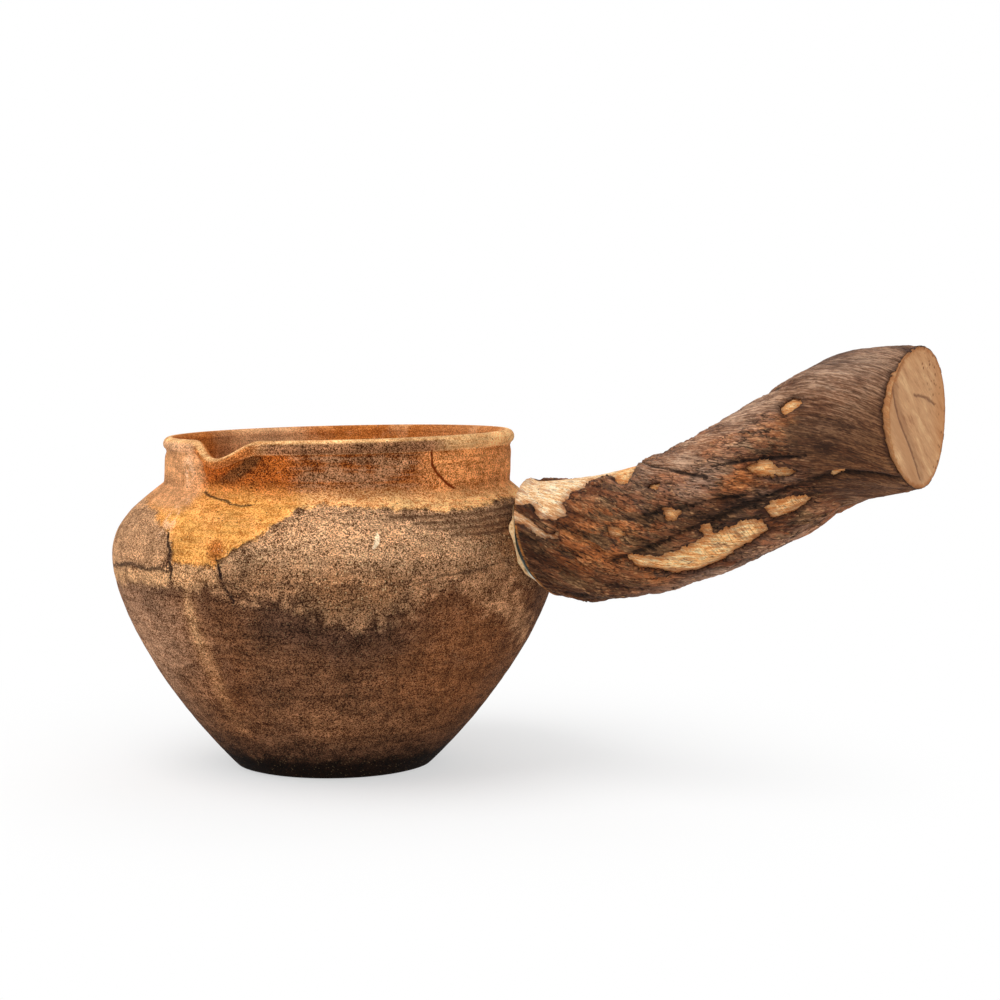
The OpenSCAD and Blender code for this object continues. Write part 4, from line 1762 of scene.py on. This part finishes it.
    def build_wood(self) -> bpy.types.Object:
        """Makes the wood of the branch, with the hole for the peg and the sawn end.

        Returns:
            The wood's piece.
        """
        whole = self.whole()
        mesh = as_mesh(spun(self.wood_line(), Axis.ALONG, self.wood_sides), "branch_wood")
        points = mesh_points(mesh)
        s, reach = points[:, 0], np.hypot(points[:, 1], points[:, 2])
        theta = np.degrees(np.arctan2(points[:, 2], points[:, 1]))
        rim = reach / self.sawn_r
        bored = (reach < self.bore_r * self.bore_margin) & (s < self.bore_depth * self.bore_margin)
        face = (s >= whole - self.face_depth).astype(float)
        place = self.grain_place(s, theta, reach)
        edge = np.clip(self.peel(s, theta), -self.edge_reach, self.edge_reach)
        worn = self.fibre_h * ripple(place * self.fibre_scale, 3)
        worn = worn + self.hair_h * ripple(place * self.hair_scale, 2)
        worn = (worn + self.bare_h * ease(edge / self.bare_run)) * ease(0.5 + edge / self.bare_edge)
        proud = worn * (1 - face) * MM - self.skin(s) - self.seat_gap
        moved = self.bent(s, theta, proud, np.where(bored, 1.0, rim))
        ahead, over = self.peg_axes()
        straight = self.spine()[0] + s[:, None] * ahead
        straight = straight + points[:, 1:2] * [[0, 1, 0]] + points[:, 2:3] * over
        moved = np.where(bored[:, None], straight, moved)
        across, rise = points[:, 1] / MM, points[:, 2] / MM
        shake, shake_side = line_field(across, rise, np.array(self.SHAKE))
        split, split_side = line_field(across, rise, np.array(self.SPLIT))
        crescent = face * (shake_side < 0)
        ledge = face * (across < 0) * ease((rim - self.ledge_from) / (1 - self.ledge_from))
        sink = self.shake_h * bell(np.minimum(shake, split) / self.shake_width)
        sink = sink + self.crescent_h * crescent * ease(shake / self.crescent_run)
        sink += ledge * (self.ledge_h + self.ledge_rough * ripple(place * self.ledge_scale, 2))
        run, climb = self.streak_run, self.streak_climb
        cut = math.radians(-self.saw_skew)
        moved -= (face * sink * MM)[:, None] * np.array([math.cos(cut), math.sin(cut), 0])
        fields = {
            "grain": place * MM,
            "end": np.c_[across, rise, rim],
            "streak": np.c_[run * across - climb * rise, climb * across + run * rise, 0 * rise] * MM,
            "sawn": face,
            "shake": np.minimum(shake, split),
            "shake_side": np.where(shake < split, shake_side, split_side),
            "crescent": crescent * ease((self.crescent_wide - shake) / self.crescent_edge),
            "strip": face * (shake_side > 0) * ease((self.strip_wide - shake) / self.strip_edge),
            "edge": edge,
            "pale": ease((self.pale_to - s / MM) / self.pale_edge),
            "tip": ease((s - whole) / MM + self.tip_run),
            "nicks": self.spots(s, theta, self.NICKS),
        }
        for name, values in fields.items():
            note_field(mesh, name, values)
        move_points(mesh, moved)
        return placed(mesh, BareWood().material(), "handle_branch")

    def bark_sheet(self) -> bmesh.types.BMesh:
        """Makes the bark's inside as a straight sheet, open where it has peeled.

        Returns:
            The sheet, with its edges drawn onto the ragged outlines.
        """
        start, whole = self.bark_start, self.whole()
        places = np.linspace(start, whole, round((whole - start) / self.bark_cell) + 1)
        line = np.c_[places, np.full(len(places), self.sawn_r), np.zeros(len(places))]
        sheet = spun(line, Axis.ALONG, self.bark_sides)
        co = np.array([v.co for v in sheet.verts])
        s, theta = co[:, 0].copy(), np.degrees(np.arctan2(co[:, 2], co[:, 1]))
        inside, step = self.peel(s, theta), self.probe
        grow_s = (self.peel(s + step * MM, theta) - inside) / step
        grow_v = (self.peel(s, theta + step / self.mm_per_degree) - inside) / step
        steep = np.maximum(grow_s**2 + grow_v**2, self.least_steep)
        near = (abs(inside) < self.snap_reach) & (s > start + self.end_keep) & (s < whole - self.end_keep)
        shift_s = np.clip(inside * grow_s / steep, -self.snap_most, self.snap_most)
        shift_v = np.clip(inside * grow_v / steep, -self.snap_most, self.snap_most)
        s = np.where(near, s - shift_s * MM, s)
        theta = np.where(near, theta - shift_v / self.mm_per_degree, theta)
        inside = np.where(near, 0.0, inside)
        for vert, at, angle in zip(sheet.verts, s, np.radians(theta)):
            vert.co = (at, self.sawn_r * math.cos(angle), self.sawn_r * math.sin(angle))
        sheet.verts.index_update()
        bare = [f for f in sheet.faces if sum(inside[v.index] for v in f.verts) > 0]
        bmesh.ops.delete(sheet, geom=bare, context="FACES")
        bmesh.ops.delete(sheet, geom=self.crumbs(sheet), context="FACES")
        bmesh.ops.delete(sheet, geom=[v for v in sheet.verts if not v.link_faces], context="VERTS")
        return sheet

    def crumbs(self, sheet: bmesh.types.BMesh) -> list[bmesh.types.BMFace]:
        """Finds the bits of bark that are too small to hold on.

        Args:
            sheet: The sheet of bark.

        Returns:
            Their faces.
        """
        seen, small = set(), []
        for first in sheet.faces:
            if first in seen:
                continue
            seen.add(first)
            island = [first]
            for face in island:
                joined = {near for edge in face.edges for near in edge.link_faces} - seen
                seen |= joined
                island.extend(sorted(joined, key=lambda f: f.index))
            if len(island) < self.crumb:
                small.extend(island)
        return small

    def build_bark(self) -> bpy.types.Object:
        """Makes the bark, open where it has peeled.

        Returns:
            The bark's piece.
        """
        sheet = self.bark_sheet()
        outer = sheet.verts.layers.float.new("outer")
        for item in bmesh.ops.extrude_face_region(sheet, geom=sheet.faces[:])["geom"]:
            if isinstance(item, bmesh.types.BMVert):
                item[outer] = 1.0
        mesh = as_mesh(sheet, "branch_bark")
        points = mesh_points(mesh)
        s, theta = points[:, 0], np.degrees(np.arctan2(points[:, 2], points[:, 1]))
        top = np.empty(len(points), np.float32)
        mesh.attributes["outer"].data.foreach_get("value", top)
        top = top > 0.5
        inside, high, plate = np.full(len(s), -1.0), np.full(len(s), self.under_h), np.zeros(len(s))
        inside[top] = np.clip(self.peel(s[top], theta[top]), -self.torn_reach, 0)
        high[top], plate[top] = self.relief(s[top], theta[top])
        thin = (self.torn_thin + self.torn_vary * plate) * np.exp(inside)
        skin = self.skin(s)
        proud = np.where(top, np.maximum((high - thin) * MM, self.least_bark - skin), -skin)
        folds = [self.gap_to(s, theta, fold)[0] for fold in self.CREASES]
        fields = {
            "grain": self.on_bark(s, theta) * MM,
            "relief": high,
            "plate": plate,
            "edge": inside,
            "grey": self.spots(s, theta, self.GREY),
            "red": self.spots(s, theta, self.RED),
            "dark": self.spots(s, theta, self.DARK),
            "tone": self.tone(s, theta),
            "along": s / MM,
            "smooth": self.spots(s, theta, self.SMOOTH),
            "fold": np.minimum(np.min(folds, axis=0), self.fold_reach),
        }
        for name, values in fields.items():
            note_field(mesh, name, values)
        move_points(mesh, self.bent(s, theta, proud, np.ones(len(s))))
        return placed(mesh, OldBark().material(), "handle_bark")


class CollarClay:
    """The finish of the collar: bare clay, stained like the wall towards its stem."""

    FLECK = Grain(1600, 3.0, 0.6)
    PATCH = Grain(420, 3.0, 0.6)
    BARE = Ramp((196, 146, 92), (240, 196, 142), (255, 226, 178))
    STAINED = Ramp((60, 34, 18), (104, 68, 42), (150, 106, 72))
    # Darker smudged patches of the collar's own clay
    SMUDGE_AND_SHADE = (140, 96, 56)
    ROUGHNESS = 0.8
    SPECULAR = 0.3
    BUMP = 0.15 * MM

    def material(self) -> bpy.types.Material:
        """Puts the finish together.

        Returns:
            The collar's material.
        """
        clay = Recipe(bpy.data.materials.new("collar_clay"))
        point = clay.point()
        fleck, patch = point.cloud(self.FLECK), point.cloud(self.PATCH)
        colour = clay.coats(fleck.ramp(self.BARE), (
            (patch.band(0.5, 0.66), 0.8, self.SMUDGE_AND_SHADE),
            ((clay.field("depth") + patch * 1.2).band(2.4, 3.1), 1.0, fleck.ramp(self.STAINED)),
        ))
        return clay.done(colour, self.ROUGHNESS, fleck.bump(self.BUMP), Specular_IOR_Level=self.SPECULAR)


class SetResin:
    """The finish of the resin: glossy, pale towards the wall and dark along the branch."""

    SWIRL = Grain(240, 3.0, 0.6)
    CLOUDY = (150, 150, 126)
    PALE = (226, 222, 202)
    DEEP = (14, 24, 8)
    ROUGHNESS = 0.15
    COAT = 0.2
    COAT_ROUGHNESS = 0.2
    BUMP = 0.2 * MM

    def material(self) -> bpy.types.Material:
        """Puts the finish together.

        Returns:
            The resin's material.
        """
        resin = Recipe(bpy.data.materials.new("set_resin"))
        swirl = resin.point().cloud(self.SWIRL)
        colour = resin.blend(swirl.band(0.36, 0.6), linear(self.CLOUDY), linear(self.PALE))
        colour = resin.blend(resin.field("ahead").band(-0.72, -0.6), colour, linear(self.DEEP))
        coat = {"Coat_Weight": self.COAT, "Coat_Roughness": self.COAT_ROUGHNESS}
        return resin.done(colour, self.ROUGHNESS, swirl.bump(self.BUMP), **coat)


@dataclass
class JointBed:
    """The clay collar and peg on the pot's wall, and the resin that beds the branch on them."""

    collar_r: float = 12.4 * MM
    collar_t: float = 2.0 * MM
    collar_edge: float = 0.4 * MM
    stem_r: float = 9.0 * MM
    stem_run: float = 1.4 * MM
    peg_r: float = 7.0 * MM
    peg_length: float = 20.0 * MM
    peg_bore_r: float = 3.4 * MM
    resin_t: float = 0.55 * MM
    pad_t: float = 1.25 * MM
    pad_r: float = 13.9 * MM
    pad_hidden: float = 1.1 * MM
    pad_lump: float = 0.5 * MM
    seat_gap: float = 0.05 * MM
    sink: float = 0.4 * MM
    smear: float = 0.2 * MM
    lump: float = 0.35 * MM
    deepest: float = 6.0
    steps: int = 160

    # By angle round the joint: the collar's share of its thickness, where the resin bead shows, and how
    # far its dark line lies ahead in millimetres
    THICK: Marks = ((120, 0.1), (154, 0.12), (162, 0.65), (180, 0.75), (200, 0.8), (216, 0.65), (232, 0.1))
    SHOWN: Marks = ((166, 0), (184, 1), (214, 1), (228, 0))
    AHEAD: Marks = ((195, 0.35), (214, -0.1))

    def on_axis(self, points: Array, branch: BranchHandle) -> Array:
        """Moves points made along +Z onto the peg's axis.

        Args:
            points: The points.
            branch: The branch on the peg.

        Returns:
            The moved points.
        """
        ahead, over = branch.peg_axes()
        start = branch.spine()[0]
        return start + points[:, 2:3] * ahead - points[:, 0:1] * over + points[:, 1:2] * [[0, 1, 0]]

    @staticmethod
    def round_angle(points: Array) -> Array:
        """Returns each point's angle round the joint, as it is counted on the branch."""
        return np.degrees(np.arctan2(-points[:, 0], points[:, 1])) % 360

    def collar_line(self, front: float, foot: float) -> Array:
        """Draws the outline of the peg, the collar and its stem.

        Args:
            front: Height of the collar's front.
            foot: Height at which the stem starts.

        Returns:
            Points of radius and height.
        """
        edge, back = self.collar_edge, front - self.collar_t
        turn = np.radians(np.linspace(90, 0, 6))
        return np.vstack([
            [[0, 0], [self.peg_bore_r, 0], [self.peg_bore_r, self.peg_length], [self.peg_r, self.peg_length],
             [self.peg_r, front]],
            np.c_[self.collar_r - edge + edge * np.cos(turn), front - edge + edge * np.sin(turn)],
            np.c_[np.full(6, self.collar_r), np.linspace(front - 1.3 * edge, back, 6)],
            np.c_[np.linspace(self.collar_r, self.stem_r, 5)[1:], np.linspace(back, foot, 5)[1:]],
            np.c_[np.full(4, self.stem_r), foot - np.array([0.3, 0.6, 1.0, 1.4]) * MM],
            [[0.6 * self.stem_r, foot - self.stem_run], [0, foot - self.stem_run]],
        ])

    def build_collar(self, branch: BranchHandle, pot: PotBody) -> bpy.types.Object:
        """Makes the collar and the peg.

        Args:
            branch: The branch on the peg.
            pot: The pot that the collar stands on.

        Returns:
            The collar's piece.
        """
        front = -self.pad_t - self.seat_gap
        foot = front - self.collar_t - 0.5 * (self.collar_r - self.stem_r)
        mesh = as_mesh(spun(upright(self.collar_line(front, foot)), Axis.UP, self.steps), "clay_collar")
        points = mesh_points(mesh)
        wide = np.hypot(points[:, 0], points[:, 1])
        flange = wide > 1.02 * self.stem_r
        rough = ripple(points * [260, 260, 200], 3) * self.lump
        points[:, :2] *= np.where(wide > 0.85 * self.stem_r, 1 + rough / self.collar_r, 1.0)[:, None]
        thick = np.interp(self.round_angle(points), *np.array(self.THICK).T)
        drop = points[:, 2] - front
        points[:, 2] = np.where((drop < 0) & flange, front + drop * thick, points[:, 2])
        moved = self.on_axis(points, branch)
        ahead, _ = branch.peg_axes()
        reach = np.linspace(0, 12, 121)[:, None] * MM
        for index in np.flatnonzero(points[:, 2] < foot - 0.2 * MM):
            probe = moved[index] - reach * ahead
            inside = np.hypot(probe[:, 0], probe[:, 1]) < pot.wall_radius(probe[:, 2]) - self.sink
            moved[index] = probe[int(np.argmax(inside))] if inside.any() else moved[index]
        skin = np.where(wide > 0.93 * self.collar_r, -self.smear, self.sink)
        within = np.hypot(moved[:, 0], moved[:, 1]) / np.maximum(pot.wall_radius(moved[:, 2]) - skin, MM)
        sunk = (within < 1) & (points[:, 2] < front)
        moved[:, :2] = np.where(sunk[:, None], moved[:, :2] / within[:, None], moved[:, :2])
        note_field(mesh, "depth", np.where(flange, np.clip(-drop / MM, 0, self.deepest), self.deepest))
        move_points(mesh, moved)
        return placed(mesh, CollarClay().material(), "handle_peg")

    def build_resin(self, branch: BranchHandle) -> bpy.types.Object:
        """Makes the resin sleeve and the bead that squeezed out at its foot.

        Args:
            branch: The branch that the resin holds.

        Returns:
            The resin's piece.
        """
        inner, outer = self.peg_r + self.seat_gap, self.peg_r + self.resin_t
        turn = np.radians(np.linspace(78, -78, 12))
        half = 0.5 * (self.pad_t - self.seat_gap)
        bead = np.c_[self.pad_r - half + half * np.cos(turn), -half - self.seat_gap + half * np.sin(turn)]
        line = np.vstack([
            [[inner, self.peg_length], [outer, self.peg_length], [outer, -self.seat_gap]],
            bead,
            [[inner, -self.pad_t]],
        ])
        mesh = as_mesh(spun(upright(line), Axis.UP, self.steps, closed=True), "resin_bead")
        points = mesh_points(mesh)
        wide = np.hypot(points[:, 0], points[:, 1])
        rough = ripple(points * [220, 220, 0], 2) * self.pad_lump
        theta = self.round_angle(points)
        rough -= self.pad_hidden * (1 - np.interp(theta, *np.array(self.SHOWN).T))
        points[:, :2] *= np.where(wide > 0.85 * self.pad_r, 1 + rough / self.pad_r, 1.0)[:, None]
        note_field(mesh, "ahead", points[:, 2] / MM + np.interp(theta, *np.array(self.AHEAD).T))
        move_points(mesh, self.on_axis(points, branch))
        return placed(mesh, SetResin().material(), "resin_bed")


@dataclass(frozen=True)
class Lamp:
    """A soft square lamp: its name, where it hangs, the length of its side and its power in watts."""

    name: str
    place: Place
    size: float
    power: float


@dataclass
class Studio:
    """The floor, the lamps and the camera."""

    focal: float = 79.2
    sensor: float = 36.0
    nearest: float = 0.01
    eye: Place = (0.27987, -0.44788, 0.10210)
    aim: Place = (-0.4633, 0.8831, -0.0739)
    floor_r: float = 8.0
    floor_sides: int = 64
    floor_drop: float = 0.2 * MM
    floor_shade: float = 0.92
    plain: float = 0.55
    shadow_from: float = 0.03
    shadow_r: float = 0.16
    ambient: float = 0.5
    lamps_aim: Place = (0.03, 0, 0.05)
    lamps: tuple[Lamp, ...] = (
        Lamp("key_lamp", (-0.30, -0.50, 0.95), 1.0, 8.0),
        Lamp("fill_lamp", (0.70, -0.60, 0.24), 0.8, 2.6),
        Lamp("back_lamp", (-0.2, 0.9, 0.8), 0.9, 2.6),
    )

    def build(self) -> None:
        """Sets up the floor, the world, the lamps and the camera."""
        self.floor()
        self.world()
        for lamp in self.lamps:
            self.hang(lamp)
        self.camera()
        bpy.context.scene.view_settings.view_transform = "Standard"

    def floor(self) -> None:
        """Lays a pale floor with a faint shadow, plain white away from the pot."""
        shape = bmesh.new()
        bmesh.ops.create_circle(shape, cap_ends=True, radius=self.floor_r, segments=self.floor_sides)
        bmesh.ops.translate(shape, verts=shape.verts, vec=(0, 0, -self.floor_drop))
        mesh = as_mesh(shape, "floor")
        mesh.materials.append(self.floor_paint())
        piece = bpy.data.objects.new("floor", mesh)
        bpy.context.scene.collection.objects.link(piece)

    def floor_paint(self) -> bpy.types.Material:
        """Makes the floor's white.

        Returns:
            The floor's material.
        """
        paint = Recipe(bpy.data.materials.new("floor_white"))
        far = paint.add("ShaderNodeVectorMath", {0: paint.point()}, "Value", operation="LENGTH")
        tint = (self.floor_shade, self.floor_shade, self.floor_shade, 1)
        lit = paint.add("ShaderNodeBsdfDiffuse", {"Color": tint})
        white = paint.add("ShaderNodeEmission", {"Color": (1, 1, 1, 1), "Strength": 1.0})
        clear = paint.mix(far.band(self.shadow_from, self.shadow_r), self.plain, 1.0)
        mixed = paint.add("ShaderNodeMixShader", {0: clear * self.seen(paint), 1: lit, 2: white})
        paint.close(mixed, "ShaderNodeOutputMaterial")
        return paint.owner

    @staticmethod
    def seen(recipe: Recipe) -> Value:
        """Finds what the camera, a reflection or glass looks at.

        Args:
            recipe: The finish that asks.

        Returns:
            1 for what is looked at.
        """
        share = recipe.add("ShaderNodeLightPath", {}, "Is Camera Ray")
        for kind in ("Is Glossy Ray", "Is Transmission Ray"):
            share = share | recipe.add("ShaderNodeLightPath", {}, kind)
        return share

    def world(self) -> None:
        """Fills the room with even light, seen as plain white."""
        room = Recipe(bpy.data.worlds.new("studio"))
        strength = room.mix(self.seen(room), self.ambient, 1.0)
        light = room.add("ShaderNodeBackground", {"Color": (1, 1, 1, 1), "Strength": strength})
        room.close(light, "ShaderNodeOutputWorld")
        bpy.context.scene.world = room.owner

    def hang(self, lamp: Lamp) -> None:
        """Hangs a lamp that points at the pot.

        Args:
            lamp: The lamp.
        """
        data = bpy.data.lights.new(lamp.name, "AREA")
        data.size = lamp.size
        data.energy = lamp.power
        hung = bpy.data.objects.new(lamp.name, data)
        hung.location = lamp.place
        towards = Vector(self.lamps_aim) - Vector(lamp.place)
        hung.rotation_euler = towards.to_track_quat("-Z", "Y").to_euler()
        bpy.context.scene.collection.objects.link(hung)

    def camera(self) -> None:
        """Sets the camera at the photograph's viewing angle."""
        data = bpy.data.cameras.new("camera")
        data.lens = self.focal
        data.sensor_width = self.sensor
        data.clip_start = self.nearest
        camera = bpy.data.objects.new("camera", data)
        camera.location = self.eye
        camera.rotation_euler = Vector(self.aim).to_track_quat("-Z", "Y").to_euler()
        bpy.context.scene.collection.objects.link(camera)
        bpy.context.scene.camera = camera


def main() -> None:
    """Builds the pot, the handle, the joint between them and the studio."""
    logging.basicConfig(level=logging.INFO, format="%(name)s %(message)s")
    pot, branch, joint = PotBody(), BranchHandle(), JointBed()
    pot.build()
    branch.build_wood()
    branch.build_bark()
    joint.build_collar(branch, pot)
    joint.build_resin(branch)
    Studio().build()


if __name__ == "__main__":
    main()
